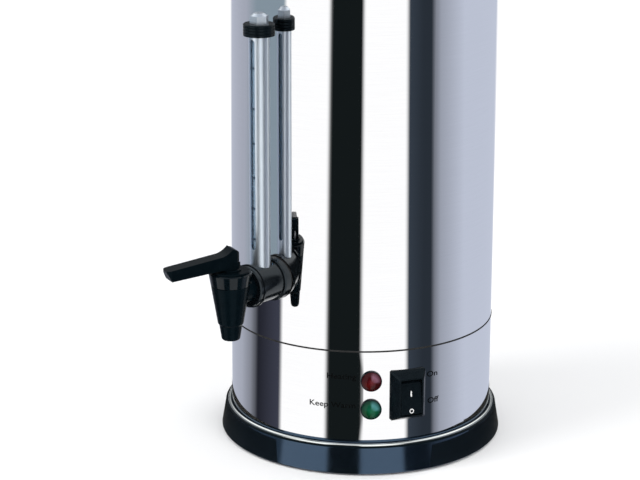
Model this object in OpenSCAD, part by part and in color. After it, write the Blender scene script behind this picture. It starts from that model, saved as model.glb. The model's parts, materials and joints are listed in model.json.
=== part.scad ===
// Coffee urn with a lever tap, a sight gauge and a percolator inside.
// The origin lies on the floor under the middle of the body, +Z is up and the tap points to -Y.
// Lengths are in millimetres. An azimuth is measured from the tap's side towards +X.

/* [Body] */
// Outside diameter of the tank and of the skirt below it
body_d = 220; // [205:1:250]
// Thickness of the stainless sheet
sheet_t = 0.8; // [0.6:0.1:1.2]
// Height of the skirt round the electrics
skirt_h = 75; // [70:0.5:95]
// Thickness of the gasket in the seam above the skirt
gasket_t = 1; // [0.6:0.1:2]
// Height of the tank from the seam to its rim
tank_h = 320; // [305:1:370]
// Height of the tank floor's underside above the seam
floor_rise = 13; // [11:0.5:18]
// Thickness of the rolled rim
rim_d = 4.4; // [3.6:0.2:6]

/* [Base] */
// Height that the feet hold the base above the floor
foot_h = 1.5; // [1:0.1:4]
// Height of the base from its lower edge to the skirt
base_h = 26.5; // [24:0.5:40]
// How far the base stands out past the body at its foot
base_flare = 8.6; // [7.5:0.1:14]
// How far the top lip of the base stands out past the body
lip_out = 5.2; // [4.6:0.1:7]
// How far the lip lies below the skirt's lower edge
lip_drop = 4.3; // [3.8:0.1:6]
// Thickness of the chromed bead between the base and the skirt
bead_d = 3.2; // [2.4:0.1:3.6]
// Wall of the base moulding
base_wall = 2.5; // [2:0.1:3.5]

/* [Heating] */
// Thickness of the aluminium heater plate
heater_t = 5; // [4:0.5:7]
// Diameter of the tubular heating element
element_d = 8; // [6:0.5:9]
// Diameter of the rods that clamp the base to the tank
tie_rod_d = 5; // [4:0.5:6]

/* [Switch and lamps] */
// Height of the switch's middle above the skirt's lower edge
panel_h = 37.7; // [34:0.1:42]
// Azimuth of the switch
switch_az = 59.3; // [56:0.1:70]
// Width of the switch's frame
switch_w = 30; // [28:0.5:34]
// Height of the switch's frame
switch_h = 42; // [40:0.5:44]
// How far the switch's frame stands out from the skirt
switch_proud = 9.5; // [8:0.1:11]
// Slope of the switch frame's sides, from its foot to its front
switch_slope = 4.7; // [3:0.1:5.5]
// Azimuth of the two lamps
lamp_az = 43.7; // [36:0.1:45]
// Diameter of a lamp's frame
lamp_d = 17; // [14:0.5:18]
// Distance between the two lamps
lamp_pitch = 24; // [22:0.5:28]
// How far the lamps' middle lies above the switch's middle
lamp_lift = 1; // [0:0.1:2]

/* [Mains inlet] */
// Width of the inlet's flange
inlet_w = 24; // [22:0.5:30]
// Height of the inlet's flange
inlet_h = 50; // [46:0.5:52]

/* [Tap] */
// Height of the tap's arm above the seam
tap_rise = 53.5; // [48:0.5:70]
// Distance of the tap's upright axis from the wall
tap_reach = 52; // [50:0.5:60]
// Diameter of the arm between the wall and the tap
arm_d = 32; // [30:0.5:33]
// Diameter of the flange at the wall
flange_d = 36; // [35:0.5:40]
// Diameter of the waterway in the arm
waterway_d = 12; // [8:0.5:13]
// Diameter of the outlet in the spout
outlet_d = 11; // [8:0.5:11.5]
// Distance of the spout's tip below the arm's axis
spout_drop = 38.3; // [36:0.1:48]
// Diameter of the tap body at its rim
tap_top_d = 34.4; // [33:0.2:36]
// Height of the tap body's rim above the arm's axis
tap_top_h = 17.2; // [16.8:0.1:22]

/* [Tap lever] */
// Length of the lever from the stem to its tip
lever_len = 55; // [45:0.5:65]
// Width of the lever
lever_w = 12.5; // [11.5:0.1:15]
// How far the lever is turned away from the front
lever_turn = 22.8; // [0:0.1:40]
// Angle by which the lever is raised to open the tap
lever_angle = 70; // [50:1:75]
// Lift of the valve with the lever raised
valve_lift = 2.4; // [1.6:0.1:3]
// Diameter of the valve stem
stem_d = 6; // [5:0.2:6.4]

/* [Sight gauge] */
// Distance of the gauge's axis from the wall
gauge_reach = 17; // [16.5:0.1:18]
// Length of the shield that shows between its socket and its collar
shield_h = 183; // [120:1:190]
// Diameter of the shield
shield_d = 16.5; // [15.5:0.1:17]
// Diameter of the gauge glass
glass_d = 12; // [10:0.2:12.4]
// Width of the two reading slots
slot_w = 4.8; // [3:0.1:6]

/* [Lid and handles] */
// Rise of the lid's dome above its edge
lid_rise = 24; // [16:0.5:34]
// Diameter of the lid's knob
knob_d = 40; // [34:0.5:48]
// Height of the knob
knob_h = 30; // [26:0.5:38]
// Distance of the handles' middle below the rim
handle_drop = 19; // [18.5:0.5:30]
// Distance from the wall to the middle of a handle's grip
handle_reach = 33; // [30:0.5:42]
// Half the angle that a handle's grip takes up
handle_half = 22; // [18:0.5:28]
// Height of a handle's grip
grip_h = 19; // [16:0.5:20]

/* [Percolator] */
// Distance of the basket's edge below the rim
basket_drop = 48; // [44:0.5:60]
// Depth of the coffee basket
basket_h = 62; // [50:0.5:80]
// Distance between the basket and the tank's wall
basket_gap = 26; // [16:0.5:34]
// Outside diameter of the pump tube
pump_d = 11; // [9:0.5:13]

/* [Hidden] */
$fn = 96;

// Clearances
fit_gap = 0.3;      // between pieces that are pushed together
close_gap = 0.05;   // between a pin or a thread and its hole
seat_gap = 0.1;     // between faces that bear on each other and move
eps = 0.01;
edge = 1;           // bevel on moulded edges
far = 1000;

// Levels of the body
body_r = body_d / 2;
inner_r = body_r - sheet_t;
skirt_z = foot_h + base_h;
seam_z = skirt_z + skirt_h;
tank_z = seam_z + gasket_t;
floor_z = tank_z + floor_rise;
floor_t = 1.2;
floor_fillet = 8;
rim_z = tank_z + tank_h;
rim_r = rim_d / 2;

// Base
foot_r = body_r + base_flare;
lip_r = body_r + lip_out;
lip_z = skirt_z - lip_drop;
lip_round = 1.4;
foot_round = 1.2;
bead_r = bead_d / 2;
bead_gap = 0.1;
bead_mid_r = body_r + bead_gap + bead_r;
bead_seat_r = bead_mid_r + bead_r + bead_gap;
bead_depth = 1.4;
bead_floor_z = lip_z - bead_depth;
bead_z = bead_floor_z + bead_r;
shoulder_r = body_r - 0.1;
spigot_r = inner_r - fit_gap;
spigot_h = 8;
deck_t = 2.5;
deck_drop = 4.3;
deck_z = bead_floor_z - deck_drop;
deck_hole_r = 60;
rib_end = 12;
vent_ring_r = 42;
cover_t = 2;
cover_rise = 2;
cover_gap = 1.2;
cover_z = foot_h + cover_rise;
cover_r = foot_r - base_wall - cover_gap;
cover_top_z = cover_z + cover_t;
boss_r = 4.5;
boss_in = 16;
boss_ring_r = body_r - boss_in;
boss_az = [45, 135, 225, 315];
cover_screw_r = 1.5;
screw_head_r = 3.2;
screw_head_t = 1.6;
cross_w = 0.9;
cross_d = 0.9;
foot_pad_r = 8;
foot_stem_r = 3;
foot_barb_r = 3.8;
foot_in = 7;
foot_ring_r = body_r - foot_in;
foot_az = [15, 105, 195, 285];
rib_t = 2;
vent_w = 4;
vent_len = 26;
vent_count = 12;

// Clamp and heating
tie_r = tie_rod_d / 2;
tie_in = 22;
tie_ring_r = body_r - tie_in;
tie_az = [0, 120, 240];
tie_nut_r = tie_rod_d * 0.95;
tie_nut_h = 4;
spacer_wall = 2;
spacer_r = tie_r + spacer_wall;
shield_drop = 13;
shield_z = seam_z - shield_drop;
shield_t = 0.8;
shield_gap = 5;
shield_lip = 7;
shield_r = inner_r - shield_gap;
shield_hole_r = 24;
heater_gap = 5;
heater_r = tie_ring_r - spacer_r - heater_gap;
heater_z = floor_z - heater_t;
element_r = element_d / 2;
element_in = 14;
element_ring_r = heater_r - element_in;
element_z = heater_z - element_r;
element_span = 320;
element_leg = 14;
element_set = 5;
stat_r = 9;
stat_h = 7;
stat_ring_r = 30;
stat_blade = [0.8, 6.3, 8];
stat_ear = [5, 6, 1];
block_size = [44, 17, 15];
block_ring_r = 74;
block_az = 210;
block_ways = 4;

// Panel pieces
panel_z = skirt_z + panel_h;
switch_front = body_r + switch_proud;
frame_wall = 1.2;
frame_edge = 0.9;
corner_cut = 0.9;
front_w = switch_w - 2 * switch_slope;
front_h = switch_h - 2 * switch_slope;
frame_over = 1.1;
box_w = switch_w - 2 * frame_over;
box_h = switch_h - 2 * frame_over;
switch_depth = 30;
box_back = body_r - switch_depth;
pivot_depth = 3.5;
pivot_s = switch_front - pivot_depth;
well_depth = 9.5;
well_back = pivot_s - well_depth;
rocker_w = front_w - 2 * frame_wall - 2 * fit_gap;
rocker_r = front_h / 2 - frame_wall - fit_gap;
rocker_foot = 4.5;
crease_in = 3.3;
rocker_crease = rocker_r - crease_in;
rocker_dish = 1.2;
rocker_sunk = 2.5;
rocker_belly = 7;
trunnion_r = 2;
trunnion_len = 1.2;
blade = [0.8, 6.3, 9];
lamp_r = lamp_d / 2;
lamp_flange = 2.5;
lamp_rim = 0.6;
lamp_proud = 1.5;
lamp_depth = 22;
lens_depth = 0.8;
lamp_barrel_r = lamp_r - lamp_flange;
lens_r = lamp_r - lamp_rim;
lamp_front = body_r + lamp_proud;
lens_seat = lamp_front - lens_depth;
lens_rise = 3.2;
lamp_back = body_r - lamp_depth;
lamp_nut_r = lamp_r + 0.3;
lamp_nut_t = 3;
inlet_az = 180;
inlet_proud = 3;
inlet_depth = 26;
inlet_front = body_r + inlet_proud;
inlet_back = body_r - inlet_depth;
socket_side = 4;
socket_end = 13;
socket_w = inlet_w - 2 * socket_side;
socket_h = inlet_h - 2 * socket_end;
socket_wall = 3;
socket_cap = 2.5;
socket_corner = 2.5;
socket_depth = 16;
pin_recess = 5.5;
pin_size = [2, 4];
pin_pitch = 7;
pin_side = 2;
inlet_screw_end = 5;
inlet_screw_pitch = inlet_h - 2 * inlet_screw_end;
inlet_screw_in = 7;
inlet_screw_r = 1.7;
inlet_round = 4;

// Arm of the tap
tap_s = body_r + tap_reach;
tap_z = tank_z + tap_rise;
arm_r = arm_d / 2;
flange_r = flange_d / 2;
flange_t = 5;
wall_gasket_t = 1.5;
way_r = waterway_d / 2;
shank_wall = 4;
shank_r = way_r + shank_wall;
shank_in = 15;
shank_out = 8;
nut_wall = 5;
nut_r = shank_r + nut_wall;
nut_t = 7;
gauge_s = body_r + gauge_reach;
socket_top = tap_z + arm_r;
socket_floor = 1.5;
lower_seal_t = 3;
socket_foot = tap_z + way_r + socket_floor;
lock_t = 5;
lock_over = 0.8;
lock_ring_over = 1.5;
lock_ring_t = 1.3;
tee_end = tap_s - tap_top_d / 2 - fit_gap - lock_t;
spigot_wall = 3.5;
spigot_out_r = way_r + spigot_wall;
spigot_depth = 3;
neck_in = 4;
neck_r = arm_r - neck_in;

// Tap body, valve and bonnet
spout_z = tap_z - spout_drop;
spout_h = 12;
spout_tip_r = 7.4;
spout_top_r = 9.1;
cone_foot_r = 10.2;
shoulder_h = 1.5;
cone_foot_z = spout_z + spout_h + shoulder_h;
tap_top_r = tap_top_d / 2;
tap_top_z = tap_z + tap_top_h;
band_h = 10.3;
groove_z = tap_top_z - band_h;
groove_w = 0.9;
groove_d = 0.5;
outlet_r = outlet_d / 2;
seat_drop = 15;
valve_seat_z = tap_z - seat_drop;
chamber_r = 8.8;
plug_r = 12.6;
plug_h = 8;
bonnet_t = 1.4;
bonnet_in = 2.2;
bonnet_r = tap_top_r - bonnet_in;
bonnet_top_z = tap_top_z + bonnet_t;
stem_r = stem_d / 2;
pocket_r = 6.8;
pocket_drop = 4.5;
pocket_z = tap_top_z - pocket_drop;
cup_r = 7.4;
cup_h = 5.5;
cup_z = valve_seat_z + close_gap;
cup_top_z = cup_z + cup_h;
stem_flange_t = 1.5;
stem_tip_r = 1.8;
seal_r = stem_r + 1.6;
seal_depth = 1.8;
spring_wire = 1.1;
spring_gap = 2.2;
spring_r = stem_r + spring_gap;
spring_turns = 5;
spring_steps = 10;
spring_sides = 6;
spring_foot_z = cup_top_z + stem_flange_t + seat_gap;
spring_len = pocket_z - spring_foot_z;

// Lever
washer_r = 8.5;
cam_washer_t = 1.1;
cam_washer_z = bonnet_top_z + seat_gap;
cam_top_z = cam_washer_z + cam_washer_t;
heel_h = 4.4;
pin_r = 1.5;
pin_z = cam_top_z + seat_gap + heel_h;
fork_w = stem_d + 2 * fit_gap;
fork_gap = 0.4;
fork_room = stem_r + fork_gap;
lever_head_h = 12.6;
lever_bar_t = 9.1;
lever_droop = 7.1;
under_droop = 4.6;
lever_slant = 3.4;
bar_lift = 0.8;
neck_u = 9.3;
neck_rise = 1.7;
neck_bend = 4.8;
heel_front = 3;
crown_back = 1.2;
crown_drop = 0.6;
back_start = 3.6;
back_round = 2;
hub_over = 0.6;
cheek_h = 1;
lever_round = 3.5;
cam_rate = valve_lift / (lever_angle * PI / 180);
cam_steps = 14;
sweep_steps = 8;

// Sight gauge
shield_r_out = shield_d / 2;
tube_wall = 0.8;
shield_depth = socket_top - socket_foot - lower_seal_t;
shield_top_z = socket_top + shield_h;
slot_rise = 12.5;
slot_drop = 2.5;
slot_foot_z = socket_top + slot_rise;
slot_top_z = shield_top_z - slot_drop;
glass_r = glass_d / 2;
glass_wall = 1.3;
gauge_collar_wall = 1;
gauge_collar_r = shield_r_out + close_gap + gauge_collar_wall;
gauge_collar_h = 9.3;
gauge_collar_lap = 2.5;
collar_grooves = 3;
collar_groove_w = 0.8;
collar_bevel = 0.7;
upper_seal_t = 2;
gauge_collar_top = shield_top_z + gauge_collar_h;
gauge_nut_r = 7.6;
gauge_nut_h = 8;
gauge_nut_dome = 2;
vent_r = 1.2;

// Handles
handle_z = rim_z - handle_drop;
grip_r = 6.5;
grip_mid_r = body_r + handle_reach;
leg_over = 0.8;
handle_foot_r = 12;
handle_foot_t = 4;
handle_screw_r = 2;
handle_screw_len = 20;
handle_washer_r = 6;
handle_washer_t = 1.2;

// Lid
lid_z = rim_z + fit_gap;
lid_edge_gap = 0.8;
lid_r = inner_r + rim_d + lid_edge_gap + sheet_t;
lid_lip_h = 4;
lid_skirt_gap = 1.2;
lid_skirt_r = inner_r - lid_skirt_gap;
lid_skirt_h = 7;
dome_in = 2;
dome_r = lid_skirt_r - dome_in;
dome_ball_r = (dome_r * dome_r + lid_rise * lid_rise) / (2 * lid_rise);
dome_top_z = lid_z + sheet_t + lid_rise;
knob_r = knob_d / 2;
knob_stem_r = 9;
knob_round = 5;
knob_screw_r = 2.5;
knob_crown = 14;
steam_hole_r = 2;
steam_hole_s = 60;

// Percolator
pump_r = pump_d / 2;
pump_wall = 0.8;
pump_base_r = 27;
pump_base_h = 18;
pump_drop = 14;
pump_top_z = rim_z - pump_drop;
basket_r = inner_r - basket_gap;
basket_top_z = rim_z - basket_drop;
basket_foot_z = basket_top_z - basket_h;
sleeve_gap = 0.4;
stop_over = 2.5;
basket_sleeve_r = pump_r + sleeve_gap;
basket_stop_r = pump_r + stop_over;
basket_stop_h = 3;
basket_hole_r = 1.6;
basket_rings = 5;
basket_hole_step = 12;
basket_roll_r = 1.6;
basket_cover_gap = 1.5;
sleeve_drop = 6;
cover_ring_gap = 0.6;
cover_ring_h = 3;
cover_neck_h = 5;

// Points on an arc from angle a to angle b
function arc(cx, cy, r, a, b, n = 6) =
    [for (i = [0:n]) let (t = a + (b - a) * i / n) [cx + r * cos(t), cy + r * sin(t)]];

// Points on a curve from p to q that leans towards c
function lean(p, c, q, n) =
    [for (i = [0:n]) let (t = i / n) p * (1 - t) * (1 - t) + c * 2 * t * (1 - t) + q * t * t];

// Turns from the tap's side to an azimuth
module at_az(az) {
    rotate([0, 0, az]) children();
}

// Local +Z runs outwards from the urn's axis, local +Y is up
module outwards(z) {
    translate([0, 0, z]) rotate([90, 0, 0]) children();
}

// Everything inside a radius, in the frame of outwards()
module core(r) {
    rotate([90, 0, 0]) cylinder(r = r, h = far, center = true, $fn = 360);
}

// Tube round +Z
module tube(r_out, r_in, h) {
    difference() {
        cylinder(r = r_out, h = h);
        translate([0, 0, -eps]) cylinder(r = r_in, h = h + 2 * eps);
    }
}

// Rectangle with round corners
module round_rect(w, h, r) {
    square([w - 2 * r, h], center = true);
    square([w, h - 2 * r], center = true);
    for (x = [-1, 1], y = [-1, 1])
        translate([x * (w / 2 - r), y * (h / 2 - r)]) circle(r = r, $fn = 32);
}

// Upright slot with round ends
module slot_shape(w, h) {
    square([w, h - w], center = true);
    for (y = [-1, 1]) translate([0, y * (h - w) / 2]) circle(d = w, $fn = 32);
}

// Disc with a bevelled upper edge
module bevelled(r, h, bevel) {
    rotate_extrude() polygon([[0, 0], [r, 0], [r, h - bevel], [r - bevel, h], [0, h]]);
}

// Hexagonal nut with its hole
module hex_nut(r, hole_r, h) {
    difference() {
        cylinder(r = r, h = h, $fn = 6);
        translate([0, 0, -eps]) cylinder(r = hole_r, h = h + 2 * eps);
    }
}

// Cross recess for a screw head whose top lies in the plane Z = 0
module cross_cut(r) {
    for (a = [0, 90]) rotate([0, 0, a]) cube([1.3 * r, cross_w, 2 * cross_d], center = true);
}

// Copies on a ring
module on_ring(azimuths, r) {
    for (a = azimuths) at_az(a) translate([0, -r, 0]) children();
}

// Base

module base_section() {
    polygon(concat(
        [[foot_r - base_wall, foot_h]],
        arc(foot_r - foot_round, foot_h + foot_round, foot_round, -90, 0),
        arc(lip_r - lip_round, lip_z - lip_round, lip_round, 10, 90),
        [
            [bead_seat_r, lip_z], [bead_seat_r, bead_floor_z],
            [shoulder_r, bead_floor_z], [shoulder_r, skirt_z],
            [spigot_r, skirt_z], [spigot_r, skirt_z + spigot_h],
            [spigot_r - base_wall, skirt_z + spigot_h], [spigot_r - base_wall, deck_z + deck_t],
            [deck_hole_r, deck_z + deck_t], [deck_hole_r, deck_z],
            [lip_r - base_wall, deck_z]
        ]
    ));
}

module base_moulding() {
    color([0.07, 0.07, 0.08]) difference() {
        union() {
            rotate_extrude() base_section();
            on_ring(boss_az, boss_ring_r) translate([0, 0, cover_top_z])
                cylinder(r = boss_r, h = deck_z - cover_top_z + eps);
            for (a = [0:30:330]) at_az(a + 7)
                translate([-rib_t / 2, -lip_r + base_wall, cover_top_z + 3])
                    cube([rib_t, lip_r - base_wall - deck_hole_r - rib_end, deck_z - cover_top_z - 3 + eps]);
        }
        on_ring(boss_az, boss_ring_r) translate([0, 0, cover_top_z - eps])
            cylinder(r = cover_screw_r + close_gap, h = deck_z - cover_top_z - 1);
        on_ring(tie_az, tie_ring_r) translate([0, 0, cover_top_z])
            cylinder(r = tie_r + fit_gap, h = far / 10);
        on_ring(tie_az, tie_ring_r) translate([0, 0, cover_top_z + 2])
            cylinder(r = tie_nut_r + 2, h = deck_z - cover_top_z - 2);
    }
}

module trim_ring() {
    color([0.82, 0.83, 0.85])
        rotate_extrude() translate([bead_mid_r, bead_z]) circle(r = bead_r, $fn = 32);
}

module base_cover() {
    color([0.1, 0.1, 0.11]) difference() {
        translate([0, 0, cover_z]) cylinder(r = cover_r, h = cover_t);
        on_ring(boss_az, boss_ring_r) translate([0, 0, cover_z - eps])
            cylinder(r = cover_screw_r + fit_gap, h = cover_t + 2 * eps);
        on_ring(foot_az, foot_ring_r) translate([0, 0, cover_z - eps])
            cylinder(r = foot_stem_r + close_gap, h = cover_t + 2 * eps);
        for (i = [0:vent_count - 1]) at_az(i * 360 / vent_count)
            translate([0, -vent_ring_r, cover_z - eps])
                linear_extrude(cover_t + 2 * eps) slot_shape(vent_w, vent_len);
    }
}

module rubber_feet() {
    color([0.16, 0.16, 0.16]) on_ring(foot_az, foot_ring_r) rotate_extrude() polygon(concat(
        [[0, 0]],
        arc(foot_pad_r - 1, 1, 1, -90, 0, 4),
        [
            [foot_pad_r, cover_z], [foot_stem_r, cover_z], [foot_stem_r, cover_top_z],
            [foot_barb_r, cover_top_z], [foot_stem_r - 1, cover_top_z + 3], [0, cover_top_z + 3]
        ]
    ));
}

module cover_screws() {
    color("silver") on_ring(boss_az, boss_ring_r) difference() {
        union() {
            translate([0, 0, cover_z - screw_head_t]) cylinder(r = screw_head_r, h = screw_head_t);
            translate([0, 0, cover_z - eps]) cylinder(r = cover_screw_r, h = deck_z - cover_z - 4);
        }
        translate([0, 0, cover_z - screw_head_t]) cross_cut(screw_head_r);
    }
}

// Skirt and tank

module panel_holes() {
    at_az(switch_az) outwards(panel_z) translate([0, 0, body_r / 2])
        linear_extrude(body_r) square([box_w + 2 * fit_gap, box_h + 2 * fit_gap], center = true);
    for (y = [-1, 1]) at_az(lamp_az) outwards(panel_z + lamp_lift + y * lamp_pitch / 2)
        translate([0, 0, body_r / 2]) cylinder(r = lamp_barrel_r + fit_gap, h = body_r);
    at_az(inlet_az) outwards(panel_z) {
        translate([0, 0, body_r / 2]) linear_extrude(body_r)
            square([socket_w + 2 * socket_wall + fit_gap, socket_h + 2 * socket_cap + fit_gap],
                center = true);
        for (y = [-1, 1]) translate([0, y * inlet_screw_pitch / 2, body_r / 2])
            cylinder(r = inlet_screw_r + fit_gap, h = body_r);
    }
}

module skirt() {
    color([0.8, 0.8, 0.82]) difference() {
        translate([0, 0, skirt_z]) tube(body_r, inner_r, skirt_h);
        panel_holes();
    }
}

module seam_gasket() {
    color([0.12, 0.12, 0.12]) {
        translate([0, 0, seam_z]) tube(body_r - 0.2, inner_r - 2.2, gasket_t);
        translate([0, 0, seam_z - 3]) tube(inner_r - fit_gap, inner_r - 2.2, 3 + eps);
    }
}

module tank_section() {
    polygon(concat(
        [
            [inner_r, tank_z], [body_r, tank_z], [body_r, rim_z - rim_r], [inner_r, rim_z - rim_r]
        ],
        arc(inner_r - floor_fillet, floor_z + floor_t + floor_fillet, floor_fillet, 0, -90, 8),
        [[0, floor_z + floor_t], [0, floor_z], [inner_r, floor_z]]
    ));
    translate([inner_r + rim_r, rim_z - rim_r]) circle(r = rim_r, $fn = 32);
}

module tank() {
    color([0.8, 0.8, 0.82]) difference() {
        rotate_extrude() tank_section();
        outwards(tap_z) translate([0, 0, body_r / 2]) cylinder(r = shank_r + fit_gap, h = body_r);
        for (side = [-90, 90], end = [-1, 1]) at_az(side + end * handle_half) outwards(handle_z)
            translate([0, 0, body_r / 2]) cylinder(r = handle_screw_r + fit_gap, h = body_r);
    }
}

// Clamp and heating, under the tank floor

module tie_rods() {
    color("silver") on_ring(tie_az, tie_ring_r) translate([0, 0, deck_z - tie_nut_h - 1.5])
        cylinder(r = tie_r, h = floor_z - deck_z + tie_nut_h + 1.5);
}

module tie_nuts() {
    color("silver") on_ring(tie_az, tie_ring_r) translate([0, 0, deck_z - tie_nut_h])
        hex_nut(tie_nut_r, tie_r + close_gap, tie_nut_h);
}

module shield_spacers() {
    color("silver") on_ring(tie_az, tie_ring_r) translate([0, 0, shield_z + shield_t])
        tube(spacer_r, tie_r + fit_gap, floor_z - shield_z - shield_t);
}

module heat_shield() {
    color([0.7, 0.7, 0.7]) difference() {
        union() {
            translate([0, 0, shield_z]) cylinder(r = shield_r, h = shield_t);
            translate([0, 0, shield_z]) tube(shield_r, shield_r - shield_t, shield_lip);
        }
        translate([0, 0, shield_z - eps]) cylinder(r = shield_hole_r, h = shield_t + 2 * eps);
        on_ring(tie_az, tie_ring_r) translate([0, 0, shield_z - eps])
            cylinder(r = tie_r + fit_gap, h = shield_t + 2 * eps);
    }
}

module heater_plate() {
    color([0.75, 0.75, 0.76]) translate([0, 0, heater_z]) cylinder(r = heater_r, h = heater_t);
}

module heating_element() {
    color([0.45, 0.42, 0.4]) {
        translate([0, 0, element_z]) rotate([0, 0, -element_span / 2]) rotate_extrude(angle = element_span)
            translate([element_ring_r, 0]) circle(r = element_r, $fn = 32);
        for (a = [-1, 1]) rotate([0, 0, a * (element_span / 2 - element_set)])
            translate([element_ring_r, 0, element_z - element_leg])
                cylinder(r = element_r - 1.2, h = element_leg, $fn = 32);
    }
}

// Disc thermostat that bears on the heater plate
module thermostat(r, h) {
    translate([0, 0, heater_z - h]) {
        cylinder(r = r, h = h);
        translate([-r - stat_ear[0], -stat_ear[1] / 2, h - stat_ear[2]])
            cube([2 * (r + stat_ear[0]), stat_ear[1], stat_ear[2]]);
        for (x = [-1, 1])
            translate([x * r * 0.55 - stat_blade[0] / 2, -stat_blade[1] / 2, -stat_blade[2]])
                cube([stat_blade[0], stat_blade[1], stat_blade[2] + eps]);
    }
}

module boil_thermostat() {
    color([0.2, 0.2, 0.22]) at_az(60) translate([0, -stat_ring_r, 0]) thermostat(stat_r, stat_h);
}

module keep_warm_thermostat() {
    color([0.85, 0.82, 0.75]) at_az(180) translate([0, -stat_ring_r, 0]) thermostat(stat_r, stat_h);
}

module thermal_cutout() {
    color([0.3, 0.2, 0.12]) at_az(300) translate([0, -stat_ring_r, 0]) thermostat(stat_r - 2, stat_h - 1);
}

module terminal_block() {
    color([0.9, 0.88, 0.8]) at_az(block_az) translate([0, -block_ring_r, deck_z + deck_t]) difference() {
        translate([-block_size[0] / 2, -block_size[1] / 2, 0]) cube(block_size);
        for (i = [0:block_ways - 1])
            translate([(i - (block_ways - 1) / 2) * block_size[0] / block_ways, 0, block_size[2] - 5])
                cylinder(r = 2.6, h = 5 + eps);
        for (i = [0:block_ways - 2])
            translate([(i - (block_ways - 2) / 2) * block_size[0] / block_ways - 0.6, -far / 20, 5])
                cube([1.2, far / 10, far / 10]);
    }
}

// Mains inlet at the back

module inlet_socket() {
    translate([0, -socket_corner / 2]) square([socket_w, socket_h - socket_corner], center = true);
    square([socket_w - 2 * socket_corner, socket_h], center = true);
}

module mains_inlet() {
    color([0.08, 0.08, 0.09]) at_az(inlet_az) outwards(panel_z) difference() {
        union() {
            difference() {
                translate([0, 0, body_r / 2]) linear_extrude(inlet_front - body_r / 2)
                    round_rect(inlet_w, inlet_h, inlet_round);
                core(body_r + close_gap);
            }
            translate([0, 0, inlet_back]) linear_extrude(inlet_front - inlet_back)
                square([socket_w + 2 * socket_wall, socket_h + 2 * socket_cap], center = true);
        }
        translate([0, 0, inlet_front - socket_depth]) linear_extrude(socket_depth + eps) inlet_socket();
        for (y = [-1, 1]) translate([0, y * inlet_screw_pitch / 2, body_r / 2])
            cylinder(r = inlet_screw_r + close_gap, h = body_r);
    }
}

module inlet_pins() {
    color("silver") at_az(inlet_az) outwards(panel_z)
        for (p = [[-pin_side, pin_pitch], [pin_side, 0], [-pin_side, -pin_pitch]])
            translate([p[0] - pin_size[0] / 2, p[1] - pin_size[1] / 2, inlet_front - socket_depth])
                cube([pin_size[0], pin_size[1], socket_depth - pin_recess]);
}

module inlet_screws() {
    color("silver") at_az(inlet_az) outwards(panel_z)
        for (y = [-1, 1]) translate([0, y * inlet_screw_pitch / 2, 0]) difference() {
            union() {
                translate([0, 0, inlet_front]) cylinder(r = screw_head_r, h = screw_head_t);
                translate([0, 0, body_r - inlet_screw_in])
                    cylinder(r = inlet_screw_r, h = inlet_front - body_r + inlet_screw_in + eps);
            }
            translate([0, 0, inlet_front + screw_head_t]) cross_cut(screw_head_r);
        }
}

// Switch

// Distance between two opposite corner cuts of a rectangle
function corner_span(w, h) = (w + h) / sqrt(2) - 2 * corner_cut;

// The frame's outline seen from one side: a short upright foot, then a slope to the front
module frame_side(foot, front) {
    polygon([
        [-foot / 2, body_r / 2], [foot / 2, body_r / 2], [foot / 2, body_r + frame_edge],
        [front / 2, switch_front], [-front / 2, switch_front], [-foot / 2, body_r + frame_edge]
    ]);
}

module switch_housing() {
    color([0.06, 0.06, 0.07]) at_az(switch_az) outwards(panel_z) difference() {
        union() {
            difference() {
                intersection() {
                    rotate([90, 0, 0]) linear_extrude(far, center = true) frame_side(switch_w, front_w);
                    rotate([90, 0, 90]) linear_extrude(far, center = true) frame_side(switch_h, front_h);
                    rotate([90, 0, 45]) linear_extrude(far, center = true)
                        frame_side(corner_span(switch_w, switch_h), corner_span(front_w, front_h));
                    rotate([90, 0, -45]) linear_extrude(far, center = true)
                        frame_side(corner_span(switch_w, switch_h), corner_span(front_w, front_h));
                }
                core(body_r + close_gap);
            }
            translate([0, 0, box_back]) linear_extrude(body_r + frame_edge / 2 - box_back)
                square([box_w, box_h], center = true);
        }
        translate([0, 0, well_back]) linear_extrude(far)
            square([rocker_w + 2 * fit_gap, 2 * (rocker_r + fit_gap)], center = true);
        translate([0, 0, pivot_s]) rotate([0, 90, 0])
            cylinder(r = trunnion_r + close_gap, h = rocker_w + 2 * (trunnion_len + fit_gap), center = true);
    }
}

// Side view of the rocker: up, then outwards from its pivot. Its upper end is pressed in.
module rocker_section() {
    face = [
        [-rocker_r + rocker_foot / 5, rocker_foot], [rocker_crease, rocker_dish],
        [rocker_r - rocker_sunk / 4, -rocker_sunk]
    ];
    back = [
        [rocker_r - rocker_sunk, -2 * rocker_sunk], [rocker_crease / 3, -rocker_belly],
        [-rocker_r + rocker_foot, -rocker_belly / 2], [-rocker_r + rocker_sunk / 4, 0]
    ];
    intersection() {
        circle(r = rocker_r, $fn = 64);
        polygon(concat(face, back));
    }
}

module rocker() {
    color([0.05, 0.05, 0.06]) at_az(switch_az) outwards(panel_z) translate([0, 0, pivot_s]) {
        rotate([90, 0, 90]) linear_extrude(rocker_w, center = true) rocker_section();
        rotate([0, 90, 0]) cylinder(r = trunnion_r, h = rocker_w + 2 * trunnion_len, center = true);
    }
}

module switch_terminals() {
    color([0.85, 0.75, 0.4]) at_az(switch_az) outwards(panel_z)
        for (x = [-1, 1], y = [-1, 1])
            translate([x * box_w / 4 - blade.x / 2, y * box_h / 4 - blade.y / 2, box_back - blade.z])
                cube(blade);
}

// Lamps

module at_lamps(rows) {
    for (y = rows) at_az(lamp_az) outwards(panel_z + lamp_lift + y * lamp_pitch / 2) children();
}

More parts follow.
